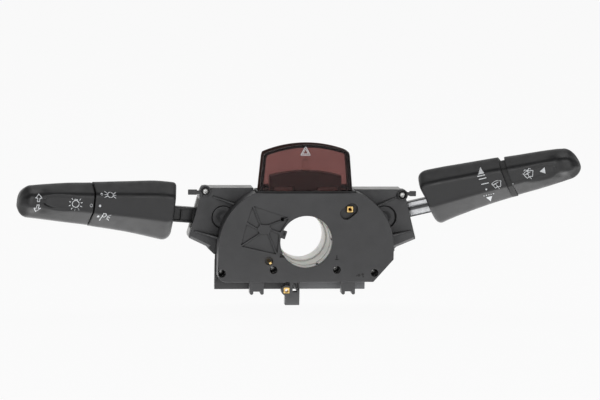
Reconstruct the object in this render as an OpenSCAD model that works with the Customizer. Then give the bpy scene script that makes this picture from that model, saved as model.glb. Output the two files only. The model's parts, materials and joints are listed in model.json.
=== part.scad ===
// Combination stalk switch for a steering column.
// +X is the right stalk, -Y faces the driver, +Z is up; the column axis runs along Y.
// The origin lies on the column axis at the rear end of the column sleeve.

/* [Column sleeve] */
// Bore that clamps on the steering column tube
column_bore_d = 35; // [33:0.5:36]
// Length of the clamping bore from the rear end
column_bore_len = 18; // [12:1:24]
// Wider bore in front of it
sleeve_front_bore_d = 37.4; // [36.6:0.2:38]
// Outside of the sleeve
sleeve_d = 40; // [39.6:0.2:41]
// Width of the steel clamp band
band_w = 8; // [6:0.5:9]
// Thickness of the band
band_t = 1.2; // [0.8:0.1:1.5]
// Radius of the clamp screw
clamp_screw_r = 2; // [1.5:0.1:2.4]

/* [Front cover] */
// Distance from the rear of the sleeve to the face of the cover
depth = 47; // [46:0.5:50]
// Half width of the cover
cover_half_w = 65.5; // [65:0.5:67]
// Height of the cover above the column axis
cover_top = 36.5; // [36:0.5:38]
// Depth of the cover below the column axis
cover_low = 30; // [29:0.5:31]
// Radius of the two upper corners
cover_corner_r = 45; // [43:1:46]
// Radius of the lower left corner
cover_small_r = 6; // [3:0.5:8]
// Sideways run of the cut lower right corner
cover_cut_run = 14.9; // [12:0.5:18]
// Rise of that cut
cover_cut_rise = 16.8; // [14:0.5:19]
// Wall thickness of the cover
cover_wall = 2.4; // [2:0.1:2.8]
// Depth of the cover's side wall
cover_skirt = 15; // [14:0.5:16]
// Hole in the cover round the column
cover_hole_d = 39; // [38:0.2:39.4]
// Depth of the star shaped recess
star_deep = 1.4; // [0.6:0.1:1.6]
// Width of the ribs between the pockets of the star
star_rib = 1.1; // [0.8:0.1:1.6]
// Radius of the screw holes in the cover
cover_screw_hole_r = 2.75; // [2.5:0.05:3]
// Side of the square brass nuts
nut_side = 4.6; // [4:0.1:5]
// Thickness of the square nuts
nut_t = 3; // [2:0.1:3.4]
// Radius of the hole in the square nuts
nut_hole_r = 1.25; // [0.8:0.05:1.5]

/* [Carrier frame] */
// Thickness of the frame's front and rear plates
frame_t = 2.4; // [2:0.1:2.6]
// Half width of the rear plate
frame_half_w = 64; // [62:0.5:66]
// Left end of the lower box
box_left = 66.6; // [64:0.2:68]
// Right end of the lower box
box_right = 46.2; // [44:0.2:47]
// Height of the lower box below the column axis
box_low = 37.4; // [36:0.1:38]

/* [Switch cases] */
// Thickness of a switch case, without its lid
case_deep = 15.5; // [15:0.5:16]
// Wall of a switch case
case_wall = 1.8; // [1.5:0.1:2.2]
// Inner end of both cases, from the column axis
case_inner_x = 38; // [37:0.5:40]
// Floor of both cases below the column axis
case_floor = 11.1; // [10:0.1:11.5]
// Distance of a stalk's pivot from the column axis
pivot_x = 60.6; // [59:0.2:62]
// Height of a stalk's pivot
pivot_z = 16.5; // [16:0.1:17.5]
// Radius of the pivot pins
pivot_pin_r = 2; // [1.6:0.1:2.2]
// Radius of the dished disc over each pivot
disc_r = 8.7; // [7:0.1:9.5]

/* [Stalks] */
// Angle by which the stalks lean to the driver
lean = 15; // [13:0.5:17]
// Angle by which the left stalk rises outward
left_rise = 6.2; // [4:0.2:8]
// Angle by which the right stalk rises outward
right_rise = 15.3; // [13:0.1:16]
// Height of the arms
arm_h = 11.5; // [10:0.5:12]
// Thickness of the arms
arm_t = 6; // [5:0.2:6.4]
// Start of the left sleeve, from the arm pin
left_sleeve_start = 29; // [28:0.5:31]
// Start of the right sleeve, from the arm pin
right_sleeve_start = 25; // [24:0.5:27]
// Length of the left sleeve
left_sleeve_len = 62.5; // [58:0.5:67]
// Length of the right sleeve
right_sleeve_len = 61; // [57:0.5:66]
// Half height of a stalk at its root
root_half_h = 22; // [21:0.5:23]
// Half height at the split between sleeve and knob
split_half_h = 16.3; // [15.8:0.1:16.8]
// Half height before the tip
tip_half_h = 12; // [11:0.1:13]
// Half thickness of a stalk at its root
root_half_t = 14.5; // [14:0.1:15.5]
// Half thickness at the split
split_half_t = 13; // [12.6:0.1:13.5]
// Half thickness before the tip
tip_half_t = 11; // [10:0.1:12]
// Length of the light switch knob
knob_len = 60; // [56:0.5:64]
// Length of the washer push cap
cap_len = 53.2; // [50:0.1:58]
// Gap between the left sleeve and the knob
knob_gap = 1; // [0.6:0.1:1.6]
// Travel of the washer push cap
cap_travel = 4; // [3:0.5:4.5]
// Wall of the cap round the neck that it slides over
cap_rim = 1.5; // [1.2:0.1:1.8]
// Radius of the shaft that the knob turns on
knob_shaft_r = 5; // [4:0.1:6]
// Radius of the tube that the cap slides on
cap_guide_r = 9; // [8:0.1:9.6]

/* [Hazard button] */
// Half width of the red shell at its foot
hazard_half_w = 35.3; // [34:0.1:36]
// Half width at its shoulders
hazard_half_top = 32.4; // [31:0.1:33.5]
// Height of the shoulders above the column axis
hazard_shoulder = 65.4; // [64:0.1:67]
// Height of the crown above the column axis
hazard_crown = 71.8; // [70.5:0.1:73]
// Thickness of the shell from front to back
hazard_deep = 15; // [13:0.5:16]
// Wall of the red shell
hazard_wall = 2.2; // [1.6:0.1:2.6]
// Travel of the hazard button
hazard_travel = 4; // [3:0.5:4]

/* [Fits] */
// Radial clearance of pins and shafts that turn or slide
run_gap = 0.05; // [0.03:0.01:0.1]
// Space between plain pieces that move past each other
free_gap = 0.3; // [0.2:0.05:0.5]

/* [Hidden] */
$fn = 48;

dark_plastic = [0.27, 0.27, 0.27];
black_plastic = [0.17, 0.17, 0.17];
satin_plastic = [0.42, 0.43, 0.44];
natural_plastic = [0.85, 0.84, 0.80];
steel = [0.70, 0.71, 0.72];
aluminium = [0.77, 0.78, 0.80];
brass = [0.80, 0.62, 0.28];
tin = [0.78, 0.78, 0.75];
board_green = [0.16, 0.32, 0.20];
red_clear = [0.42, 0.10, 0.09];
glass_clear = [0.90, 0.90, 0.85];

// Planes along the column, counted from the rear end of the sleeve
face_y = -depth;
cover_inner_y = face_y + cover_wall;
skirt_y = face_y + cover_skirt;
case_back_y = -12;
case_joint_y = case_back_y - case_deep;
lid_inner_y = case_joint_y - 2.1;
lid_slope = 3.4 / 32;
lid_slope_start = 48;
board_y = case_back_y - 3.6;
rear_plate_y = case_back_y + free_gap;
stalk_y = -21.6;
band_y = -1 - band_w;
arc_n = 24;

bore_r = column_bore_d / 2;
sleeve_r = sleeve_d / 2;
hub_r = sleeve_r + run_gap + 2.5;
cover_arc_x = cover_half_w - cover_corner_r;
cover_arc_z = -4.5;
cut_angle = atan2(cover_cut_rise, cover_cut_run);

// Screw places in the cover, as X and Z
cover_screw_xz = [[-62.6, -23.4], [-24.2, -20.8], [23.1, -20.8], [51.4, -23.1]];
upper_nut = [32.3, 24.3];
lower_nut = [-14.3, -36.1];
nut_boss_deep = 6.4;
horn_xz = [-27.7, -14.1];
pawl_xz = [-27.5, 9.2];
pawl_pin_r = 1.5;
horn_pin_r = 1.2;
horn_hole_r = 3;
horn_out = 9;

// Case outlines: top corner x, top z, low corner x, low corner z, heel x, heel z, bottom x,
// and how far the release tab reaches out
left_outline = [77.4, 38.2, 85.9, 3, 73.2, -5.2, 67.2, 10.4];
right_outline = [75.4, 37.1, 83.6, 1.8, 70, -6.2, 66.8, 8.6];
left_lid_screw = [74.3, 36.4];
right_lid_screw = [73.3, 33.6];
frame_screw_xz = [[61, 31], [61, -9.3]];
housing_top = -23.5;

function arc(cx, cz, r, from, to, n) =
    [for (i = [0:n]) let (a = from + (to - from) * i / n) [cx + r * cos(a), cz + r * sin(a)]];

// Outline of the cover, drawn in by i
function cover_points(i) =
    let (
        r = cover_corner_r - i,
        top = asin((cover_top - i - cover_arc_z) / r),
        small = max(cover_small_r - i, 0.5)
    ) concat(
        arc(-cover_half_w + i + small, -cover_low + i + small, small, 180, 270, 6),
        [[cover_half_w - cover_cut_run - i * tan(cut_angle / 2), -cover_low + i]],
        [[cover_half_w - i, cover_cut_rise - cover_low + i * tan(45 - cut_angle / 2)]],
        arc(cover_arc_x, cover_arc_z, r, 0, top, arc_n),
        arc(-cover_arc_x, cover_arc_z, r, 180 - top, 180, arc_n)
    );

// Outline of a switch case on the +X side, drawn in by i
function case_points(o, i) = [
    [case_inner_x + i, -case_floor + i],
    [o[6] - i * 0.7, -case_floor + i],
    [o[4] - i * 0.6, o[5] + i],
    [o[2] - i, o[3] - 2 + i * 0.5],
    [o[2] - i, o[3]],
    [o[0] - i, o[1] - 4 - i],
    [o[0] - 2 - i, o[1] - i],
    [case_inner_x + i, o[1] - i]
];

// Draws its 2D child in X and Z and runs it from y0 to y1
module slab(y0, y1) {
    translate([0, y1, 0]) rotate([90, 0, 0]) linear_extrude(y1 - y0) children();
}

// Cylinder along Y
module rod_y(x, z, r, y0, y1) {
    translate([x, y1, z]) rotate([90, 0, 0]) cylinder(r = r, h = y1 - y0);
}

// Cylinder along X
module rod_x(y, z, r, x0, x1) {
    translate([x0, y, z]) rotate([0, 90, 0]) cylinder(r = r, h = x1 - x0);
}

// Box between two corners
module box(low, high) {
    translate(low) cube(high - low);
}

// Puts a piece that is drawn on the +X side on the left or right
module on_side(s) {
    mirror([s < 0 ? 1 : 0, 0, 0]) children();
}

// Coil spring along +Z, as a swept wire
module coil(r, wire, turns, len) {
    per_turn = 14;
    sides = 6;
    n = floor(turns * per_turn);
    rise = (len - 2 * wire) / n;
    points = [
        for (i = [0:n]) for (k = [0:sides - 1])
            let (a = 360 * i / per_turn, b = 360 * k / sides, q = r + wire * cos(b))
            [q * cos(a), q * sin(a), wire + rise * i + wire * sin(b)]
    ];
    walls = [
        for (i = [0:n - 1]) for (k = [0:sides - 1])
            let (m = (k + 1) % sides)
            [i * sides + k, (i + 1) * sides + k, (i + 1) * sides + m, i * sides + m]
    ];
    ends = [[for (k = [0:sides - 1]) k], [for (k = [sides - 1:-1:0]) n * sides + k]];
    polyhedron(points = points, faces = concat(walls, ends), convexity = 10);
}

// Star shaped recess: corners of the star and of its hub
star_corners = [
    [-40.6, 27.7], [-12.8, 18.4], [-19.7, 6.4], [-21.6, -9.6], [-49.3, -3.2], [-45.2, 14.4]
];
star_hub = [-31.6, 9.6];
star_hub_half = [5, 3.8];
star_hub_angles = [125, 55, 0, -55, -125, 180];
star_count = len(star_corners);
function star_hub_point(k) =
    star_hub + [star_hub_half.x * cos(star_hub_angles[k]), star_hub_half.y * sin(star_hub_angles[k])];
function toward(a, b, d) = a + (b - a) * d / norm(b - a);

// One pocket of the star, held back from its neighbours by half a rib
module star_pocket(k) {
    m = (k + 1) % star_count;
    a = star_corners[k];
    b = star_corners[m];
    c = star_hub_point(m);
    d = star_hub_point(k);
    half = star_rib / 2;
    slab(face_y - 1, face_y + star_deep)
        polygon([
            toward(toward(a, b, half * 1.6), toward(d, c, half * 1.6), half),
            toward(toward(b, a, half * 1.6), toward(c, d, half * 1.6), half),
            toward(toward(c, d, half), toward(b, a, half), half),
            toward(toward(d, c, half), toward(a, b, half), half)
        ]);
}

// Slanted oval round the upper square nut
module nut_oval(r, y0, y1) {
    translate([31.4, 0, 22.9]) rotate([0, -38, 0]) {
        rod_y(-2.6, 0, r, y0, y1);
        rod_y(2.6, 0, r, y0, y1);
        box([-2.6, y0, -r], [2.6, y1, r]);
    }
}

// Hook under the cover that snaps over the frame
module cover_hook(x0, x1) {
    front = face_y + 1;
    back = face_y + 9;
    foot_w = 2.6;
    foot_mid = (front + back) / 2;
    box([x0, front, -cover_low - 7.2], [x1, back, -cover_low + 1]);
    for (x = [x0, x1 - foot_w]) {
        box([x, front, -cover_low - 8.2], [x + foot_w, back, -cover_low - 7]);
        translate([x + foot_w / 2, foot_mid, -cover_low - 8.2]) rotate([90, 0, 0])
            cylinder(r = foot_w / 2, h = back - front, center = true, $fn = 24);
    }
}

// Lug under the cover that carries the lower square nut
module cover_lug() {
    lug_back = face_y + 6;
    difference() {
        union() {
            box([-15.4, face_y, -47.2], [-4.6, lug_back, -cover_low + 1]);
            rod_y(lower_nut.x, lower_nut.y, 4, face_y, lug_back);
        }
        translate([lower_nut.x, 0, lower_nut.y])
            box([-nut_side / 2, face_y - 1, -nut_side / 2], [nut_side / 2, face_y + nut_t, nut_side / 2]);
        rod_y(lower_nut.x, lower_nut.y, nut_hole_r + 0.4, face_y - 1, lug_back + 1);
        box([-15.6, face_y - 1, -32.5], [-11.9, lug_back + 1, -cover_low - 0.2]);
        difference() {
            box([-9.8, face_y - 1, -37.3], [-5.5, lug_back + 1, -cover_low - 0.6]);
            translate([-9.8, 0, -31]) rotate([0, 56, 0]) box([-2, face_y, -0.55], [9, lug_back, 0.55]);
        }
    }
}

module front_cover() {
    color(dark_plastic) difference() {
        union() {
            difference() {
                slab(face_y, skirt_y) polygon(cover_points(0));
                slab(cover_inner_y, skirt_y + 1) polygon(cover_points(cover_wall - 0.4));
                box(
                    [-hazard_half_w - 2.4, cover_inner_y, cover_top - 4],
                    [hazard_half_w + 2.4, skirt_y + 1, cover_top + 1]
                );
            }
            intersection() {
                slab(face_y + 1, skirt_y) polygon(cover_points(0.05));
                for (p = cover_screw_xz) rod_y(p.x, p.y, cover_screw_hole_r + 1.6, face_y + 1, skirt_y);
            }
            difference() {
                rod_y(0, 0, hub_r - 0.4, face_y + 1, face_y + 9);
                rod_y(0, 0, sleeve_r + run_gap, face_y, face_y + 10);
                box([-hub_r, cover_inner_y, -1], [0, face_y + 10, 14]);
            }
            nut_oval(6.1, face_y + 1, face_y + nut_boss_deep);
            rod_y(horn_xz.x, horn_xz.y, horn_hole_r + 1.6, face_y + 1, skirt_y);
            rod_y(pawl_xz.x, pawl_xz.y, 3, cover_inner_y - 1, cover_inner_y + 0.8);
            cover_hook(-41.6, -31.2);
            cover_hook(26.9, 37.1);
            cover_lug();
        }
        rod_y(0, 0, cover_hole_d / 2, face_y - 1, cover_inner_y + 0.01);
        for (p = cover_screw_xz) {
            rod_y(p.x, p.y, cover_screw_hole_r, face_y - 1, skirt_y - 3);
            rod_y(p.x, p.y, 1.6, face_y - 1, skirt_y + 1);
        }
        for (k = [0:star_count - 1]) star_pocket(k);
        difference() {
            nut_oval(4.5, face_y - 1, face_y + 5);
            translate([upper_nut.x, 0, upper_nut.y])
                box([-2.7, face_y + 1.2 + nut_t, -2.7], [2.7, face_y + 6, 2.7]);
        }
        rod_y(upper_nut.x, upper_nut.y, nut_hole_r + 0.4, face_y - 1, face_y + 8);
        rod_y(horn_xz.x, horn_xz.y, horn_hole_r, face_y - 1, skirt_y + 1);
        rod_y(pawl_xz.x, pawl_xz.y, pawl_pin_r, cover_inner_y - 0.8, cover_inner_y + 2);
        box([-19.2, face_y - 1, 15.6], [-17, cover_inner_y + 1, 18.2]);
        box([-19.6, face_y - 1, -11.4], [-16.8, cover_inner_y + 1, -8.6]);
    }
}

module main_frame() {
    plate_back = skirt_y + frame_t;
    rear_back = rear_plate_y + frame_t;
    shelf_z = -case_floor - free_gap;
    box_top = shelf_z - 2;
    box_end = -4;
    box_left_rear = -box_left + 3.2;
    rear_top = 34.5;
    housing_gap = 0.3;
    color(black_plastic) difference() {
        union() {
            intersection() {
                slab(skirt_y, plate_back) polygon(cover_points(0.3));
                box([-cover_half_w, skirt_y - 1, -cover_low], [cover_half_w, plate_back + 1, 60]);
            }
            box([-box_left, skirt_y, -box_low], [box_end, plate_back, -15]);
            rod_y(0, 0, hub_r, skirt_y, rear_back);
            box([-frame_half_w + 1, rear_plate_y, -box_low], [frame_half_w, rear_back, rear_top]);
            box([-frame_half_w + 1, skirt_y, box_top], [frame_half_w, rear_back, shelf_z]);
            translate([0, 0, -box_low]) linear_extrude(2) polygon([
                [-box_left, skirt_y], [box_end, skirt_y], [box_end, rear_back], [box_left_rear, rear_back]
            ]);
            translate([0, 0, -box_low]) linear_extrude(shelf_z + box_low) polygon([
                [-box_left, skirt_y], [-box_left + 2, skirt_y],
                [box_left_rear + 2, rear_back], [box_left_rear, rear_back]
            ]);
            box([box_end - 2, skirt_y, -box_low], [box_end, rear_back, box_top + 1]);
            for (x = [-50, -36, -21]) box([x - 0.75, skirt_y, -box_low], [x + 0.75, rear_back, box_top + 1]);
            for (x = [-30, 30]) box([x - 1, plate_back - 1, 18], [x + 1, rear_plate_y + 1, well_low]);
            for (a = [35, 145, 215, 325])
                rotate([0, -a, 0]) box([hub_r - 1, rear_back - 1, -0.8], [36, rear_back + 2, 0.8]);
            for (s = [-1, 1]) for (z = [-8, 29])
                box([s * 45 - 11.5, rear_back - 0.5, z - 0.7], [s * 45 + 11.5, rear_back + 1.6, z + 0.7]);
            for (s = [-1, 1]) for (p = frame_screw_xz)
                rod_y(s * p.x, p.y, 3, rear_plate_y, rear_back + 0.8);
        }
        rod_y(0, 0, sleeve_r + run_gap, skirt_y - 1, rear_back + 1);
        for (s = [-1, 1]) {
            on_side(s) box([33, rear_plate_y - 1, -6], [57.5, rear_back + 1, 26]);
            on_side(s) box([41, skirt_y - 1, shelf_z], [90, plate_back + 1, 60]);
            for (p = frame_screw_xz) rod_y(s * p.x, p.y, 1.6, rear_plate_y - 1, rear_back + 2);
        }
        box(
            [box_end, skirt_y - 1, -box_low - 1],
            [box_right + housing_gap, rear_back + 1, housing_top + housing_gap]
        );
        box([box_right, skirt_y + 0.01, -box_low - 1], [90, rear_back + 1, -cover_low + 0.4]);
        slab(plate_back, rear_back + 1) polygon([[56, -31], [66, -31], [66, -19]]);
        box([-90, skirt_y - 1, well_low - free_gap], [90, plate_back + 1, 60]);
        box([box_left_rear + 2, rear_plate_y - 1, -box_low + 2], [box_end - 2, rear_back + 1, box_top - 0.5]);
        rod_y(horn_xz.x, horn_xz.y, 0.8, skirt_y - 1, plate_back + 1);
        for (p = cover_screw_xz) rod_y(p.x, p.y, 1.3, skirt_y - 1, plate_back + 8);
        rod_y(pawl_xz.x, pawl_xz.y, pawl_pin_r, skirt_y - 1, plate_back + 1);
    }
}

module column_sleeve() {
    slot_w = 2.2;
    sleeve_front_y = cover_inner_y + 2;
    color(natural_plastic) difference() {
        union() {
            rod_y(0, 0, sleeve_r, sleeve_front_y, 0);
            rod_y(0, 0, sleeve_r + 1, band_y + band_w + 0.2, 0);
        }
        rod_y(0, 0, bore_r, -column_bore_len, 1);
        rod_y(0, 0, sleeve_front_bore_d / 2, face_y, -column_bore_len);
        rod_y(0, 0, sleeve_front_bore_d / 2 + 0.5, face_y, face_y + 12);
        for (a = [30, 4, -63, -125]) rotate([0, -a, 0])
            box([sleeve_front_bore_d / 2 - 1, face_y, -0.7], [sleeve_r + 2, sleeve_front_y + 7, 0.7]);
        for (a = [90, 135, 180]) rotate([0, -a, 0])
            box([0, band_y - 2, -slot_w / 2], [sleeve_r + 3, 1, slot_w / 2]);
        rotate([0, 17, 0]) box([-30, face_y, -5.4], [-10, face_y + 9.5, 5.4]);
    }
}

ear_gap = 1.6;
ear_t = 1.4;
ear_high = 10;
ear_hole_z = sleeve_r + band_t + 5;

module clamp_band() {
    r0 = sleeve_r + run_gap;
    r1 = r0 + band_t;
    color(steel) difference() {
        union() {
            rod_y(0, 0, r1, band_y, band_y + band_w);
            for (s = [-1, 1]) on_side(s)
                box([ear_gap, band_y, r0], [ear_gap + ear_t, band_y + band_w, r1 + ear_high]);
        }
        rod_y(0, 0, r0, band_y - 1, band_y + band_w + 1);
        box([-ear_gap, band_y - 1, 0], [ear_gap, band_y + band_w + 1, r1 + ear_high + 1]);
        rod_x(band_y + band_w / 2, ear_hole_z, clamp_screw_r + 0.15, -10, 10);
    }
}

module clamp_screw() {
    color(steel) {
        rod_x(band_y + band_w / 2, ear_hole_z, clamp_screw_r, -ear_gap - ear_t - 5, ear_gap + ear_t);
        difference() {
            rod_x(band_y + band_w / 2, ear_hole_z, 3.6, ear_gap + ear_t, ear_gap + ear_t + 3.4);
            translate([ear_gap + ear_t + 1.6, band_y + band_w / 2, ear_hole_z])
                rotate([0, 90, 0]) cylinder(r = 1.7, h = 3, $fn = 6);
        }
    }
}

module clamp_nut() {
    color(steel) difference() {
        translate([-ear_gap - ear_t - 3.2, band_y + band_w / 2, ear_hole_z])
            rotate([0, 90, 0]) cylinder(r = 3.7, h = 3.2, $fn = 6);
        rod_x(band_y + band_w / 2, ear_hole_z, clamp_screw_r + 0.02, -20, 0);
    }
}

// Pan head screw along Y, its head towards the driver at y
module screw(x, z, y, head_r, shaft_r, len) {
    difference() {
        union() {
            rod_y(x, z, head_r, y, y + 1.6);
            rod_y(x, z, shaft_r, y + 1, y + len);
        }
        translate([x, y, z]) {
            box([-head_r * 0.6, -1, -0.3], [head_r * 0.6, 0.8, 0.3]);
            box([-0.3, -1, -head_r * 0.6], [0.3, 0.8, head_r * 0.6]);
        }
    }
}

module cover_screws() {
    color(steel) for (p = cover_screw_xz) screw(p.x, p.y, skirt_y - 4.6, 2.4, 1.25, 12);
}

module case_screws() {
    color(steel) {
        screw(-left_lid_screw.x, left_lid_screw.y, lid_face_y(left_lid_screw.x) - 1.9, 2.1, 1.25, 14);
        screw(right_lid_screw.x, right_lid_screw.y, lid_face_y(right_lid_screw.x) - 1.9, 2.1, 1.25, 14);
    }
}

module frame_screws() {
    color(steel) for (s = [-1, 1]) for (p = frame_screw_xz)
        translate([s * p.x, rear_plate_y + frame_t + 0.8, p.y]) rotate([0, 0, 180])
            screw(0, 0, -1.6, 2.8, 1.5, 9);
}

module square_nut(x, z, y) {
    difference() {
        translate([x, 0, z])
            box([-nut_side / 2, y, -nut_side / 2], [nut_side / 2, y + nut_t, nut_side / 2]);
        rod_y(x, z, nut_hole_r, y - 1, y + nut_t + 1);
    }
}

module square_nuts() {
    color(brass) {
        square_nut(upper_nut.x, upper_nut.y, face_y + 1.2);
        square_nut(lower_nut.x, lower_nut.y, face_y);
    }
}

horn_bush_y = face_y + 2.2;

module horn_bush() {
    color(black_plastic) difference() {
        rod_y(horn_xz.x, horn_xz.y, horn_hole_r, horn_bush_y, horn_bush_y + 4);
        rod_y(horn_xz.x, horn_xz.y, horn_pin_r + run_gap, face_y - 1, horn_bush_y + 5);
    }
}

module horn_pin() {
    tip = horn_pin_r;
    color(brass) {
        rod_y(horn_xz.x, horn_xz.y, horn_pin_r, face_y - horn_out + tip, horn_bush_y + 4.6);
        translate([horn_xz.x, face_y - horn_out + tip, horn_xz.y]) sphere(r = horn_pin_r);
        rod_y(horn_xz.x, horn_xz.y, horn_hole_r - free_gap, horn_bush_y + 4, horn_bush_y + 5);
    }
}

module horn_spring() {
    from = horn_bush_y + 5;
    color(steel) translate([horn_xz.x, from, horn_xz.y]) rotate([-90, 0, 0])
        coil(1.9, 0.3, 4, skirt_y - from);
}

module cancel_pawl() {
    y0 = cover_inner_y + 0.8 + free_gap;
    y1 = y0 + 3;
    tip_r = 15.6;
    color(dark_plastic) difference() {
        union() {
            rod_y(pawl_xz.x, pawl_xz.y, 3.4, y0, y1 + 1);
            rotate([0, 17, 0]) box([-27, y0, -1.5], [-tip_r, y1, 1.5]);
            rotate([0, 17, 0]) box([-18.8, y0, -3], [-tip_r, y1, 3]);
        }
        rod_y(pawl_xz.x, pawl_xz.y, pawl_pin_r + run_gap, y0 - 1, y1 + 2);
        rotate([0, 17, 0]) box([-17.8, y0 - 1, -0.5], [-16.8, y0 + 1.6, 1.8]);
    }
}

module cancel_pawl_pin() {
    color(steel)
        rod_y(pawl_xz.x, pawl_xz.y, pawl_pin_r - 0.02, cover_inner_y - 0.7, skirt_y + frame_t);
}

module cancel_spring() {
    from = cover_inner_y + 5.4;
    color(steel) translate([pawl_xz.x, from, pawl_xz.y]) rotate([-90, 0, 0])
        coil(pawl_pin_r + 0.7, 0.35, 5, skirt_y - from);
}

// Hazard button: the red shell slides in a well behind the cover plate
well_wall = 1.2;
well_front = face_y + nut_boss_deep + free_gap;
shell_front = well_front + well_wall + free_gap;
shell_back = shell_front + hazard_deep;
well_back = shell_back + free_gap + well_wall;
well_top = cover_top + 0.8;
well_low = 24.9;
shell_low = well_low + well_wall + hazard_travel + 1;

// Arched outline of the shell, drawn in by i
function shell_points(i) =
    let (
        half = hazard_half_top - i,
        sag = hazard_crown - hazard_shoulder,
        r = (hazard_half_top * hazard_half_top + sag * sag) / (2 * sag) - i,
        cz = hazard_crown - i - r,
        right = asin((half - 3 - hazard_crest_x) / r),
        left = -asin((half - 3 + hazard_crest_x) / r),
        right_z = cz + r * cos(right),
        left_z = cz + r * cos(left)
    ) concat(
        [[-hazard_half_w + i, shell_low - (i > 0 ? 1 : 0)]],
        [[hazard_half_w - i, shell_low - (i > 0 ? 1 : 0)]],
        [[half, right_z - 3.4], [half - 0.8, right_z - 1]],
        [
            for (k = [0:arc_n])
                let (a = right + (left - right) * k / arc_n)
                [hazard_crest_x + r * sin(a), cz + r * cos(a)]
        ],
        [[-half + 0.8, left_z - 1], [-half, left_z - 3.4]]
    );

spring_x = 29.4;
hazard_crest_x = 1.5;
spring_pad_z = well_low + well_wall + 13;

module hazard_lens() {
    color(red_clear) {
        difference() {
            slab(shell_front, shell_back) polygon(shell_points(0));
            slab(shell_front + hazard_wall, shell_back - hazard_wall) polygon(shell_points(hazard_wall));
        }
        for (s = [-1, 1]) on_side(s)
            box(
                [spring_x - 2.3, shell_front + 1, spring_pad_z],
                [hazard_half_w - 2, shell_back - 1, spring_pad_z + 1.6]
            );
    }
}

module hazard_base() {
    x = hazard_half_w + free_gap + well_wall;
    color(black_plastic) difference() {
        box([-x, well_front, well_low], [x, well_back, well_top]);
        box(
            [-x + well_wall, well_front + well_wall, well_low + well_wall],
            [x - well_wall, well_back - well_wall, well_top + 1]
        );
    }
}

module hazard_core() {
    z0 = well_low + well_wall;
    half = 26.7;
    shoulder = 48;
    crown = 51.7;
    sag = crown - shoulder;
    r = (half * half + sag * sag) / (2 * sag);
    sweep = asin(half / r);
    mid = (shell_front + shell_back) / 2;
    color(satin_plastic) difference() {
        slab(mid - 4.6, mid + 4.6)
            polygon(concat(
                [[-half, z0], [half, z0]],
                [for (k = [0:arc_n]) let (a = sweep - 2 * sweep * k / arc_n) [r * sin(a), crown - r + r * cos(a)]]
            ));
        for (s = [-1, 1]) on_side(s) box([9, mid - 6, z0 - 1], [half - 3, mid - 1.5, 40]);
        translate([0, mid, 44]) cylinder(r = 3.2, h = 10);
    }
}

module hazard_bulb() {
    mid = (shell_front + shell_back) / 2;
    color(glass_clear) translate([0, mid, 44]) {
        cylinder(r = 3.15, h = 9);
        translate([0, 0, 9]) cylinder(r = 2.5, h = 5);
        translate([0, 0, 14]) sphere(r = 2.5);
    }
}

module hazard_springs() {
    mid = (shell_front + shell_back) / 2;
    z0 = well_low + well_wall;
    color(steel) for (s = [-1, 1]) translate([s * spring_x, mid, z0])
        coil(2, 0.4, 5, spring_pad_z - z0);
}

// Lower connector block with two sockets that open to the rear
socket_x = [2, 22.5];
socket_w = 17;
socket_h = 8.6;
socket_z = -34.6;
socket_deep = 12;
block_back = -8;
terminal_sink = 5.5;

module connector_housing() {
    color(satin_plastic) difference() {
        union() {
            box([-3.6, skirt_y, -box_low], [box_right, block_back, housing_top]);
            box([38, skirt_y - 1.2, -box_low], [box_right, skirt_y + 1, -cover_low - 0.4]);
        }
        for (x = socket_x)
            box([x, block_back - socket_deep, socket_z], [x + socket_w, block_back + 1, socket_z + socket_h]);
        box([-1.5, skirt_y + 2, -box_low - 1], [36, block_back - socket_deep - 1.5, -35.6]);
        box([37, skirt_y - 2, -box_low - 1], [38, skirt_y + 1.5, -29]);
    }
}

module connector_terminals() {
    color(tin) for (x = socket_x) for (i = [0:5]) for (z = [-32, -28.6])
        box(
            [x + 1.8 + i * 2.5, block_back - socket_deep, z - 0.4],
            [x + 2.6 + i * 2.5, block_back - terminal_sink, z + 0.4]
        );
}

// Face of a lid at distance x from the column axis
function lid_face_y(x) = lid_inner_y - max(x - lid_slope_start, 0) * lid_slope;

// Space behind the sloping face of a lid
module lid_wedge(shift) {
    far = 92;
    translate([0, 0, -60]) linear_extrude(120) polygon([
        [20, lid_inner_y + shift],
        [lid_slope_start, lid_inner_y + shift],
        [far, lid_face_y(far) + shift],
        [far, 0],
        [20, 0]
    ]);
}

// Frame of a stalk's yoke: u outward, w to the rear, v up, on the +X side
module yoke_frame(rise) {
    translate([pivot_x, stalk_y, pivot_z]) rotate([0, -rise, 0]) children();
}

yoke_pin_u = 10;
yoke_half_w = 5.2;
fork_gap = 4.4;
fork_out = 7;
yoke_pin_r = 1.5;

module stalk_frame(rise) {
    yoke_frame(rise) translate([yoke_pin_u, 0, 0]) rotate([0, 0, -lean]) children();
}

// Opening in the outer wall that the arm swings in
module arm_slot(rise) {
    yoke_frame(rise) box([13, -9.2, -11.5], [60, 4.4, 11]);
}

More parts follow.
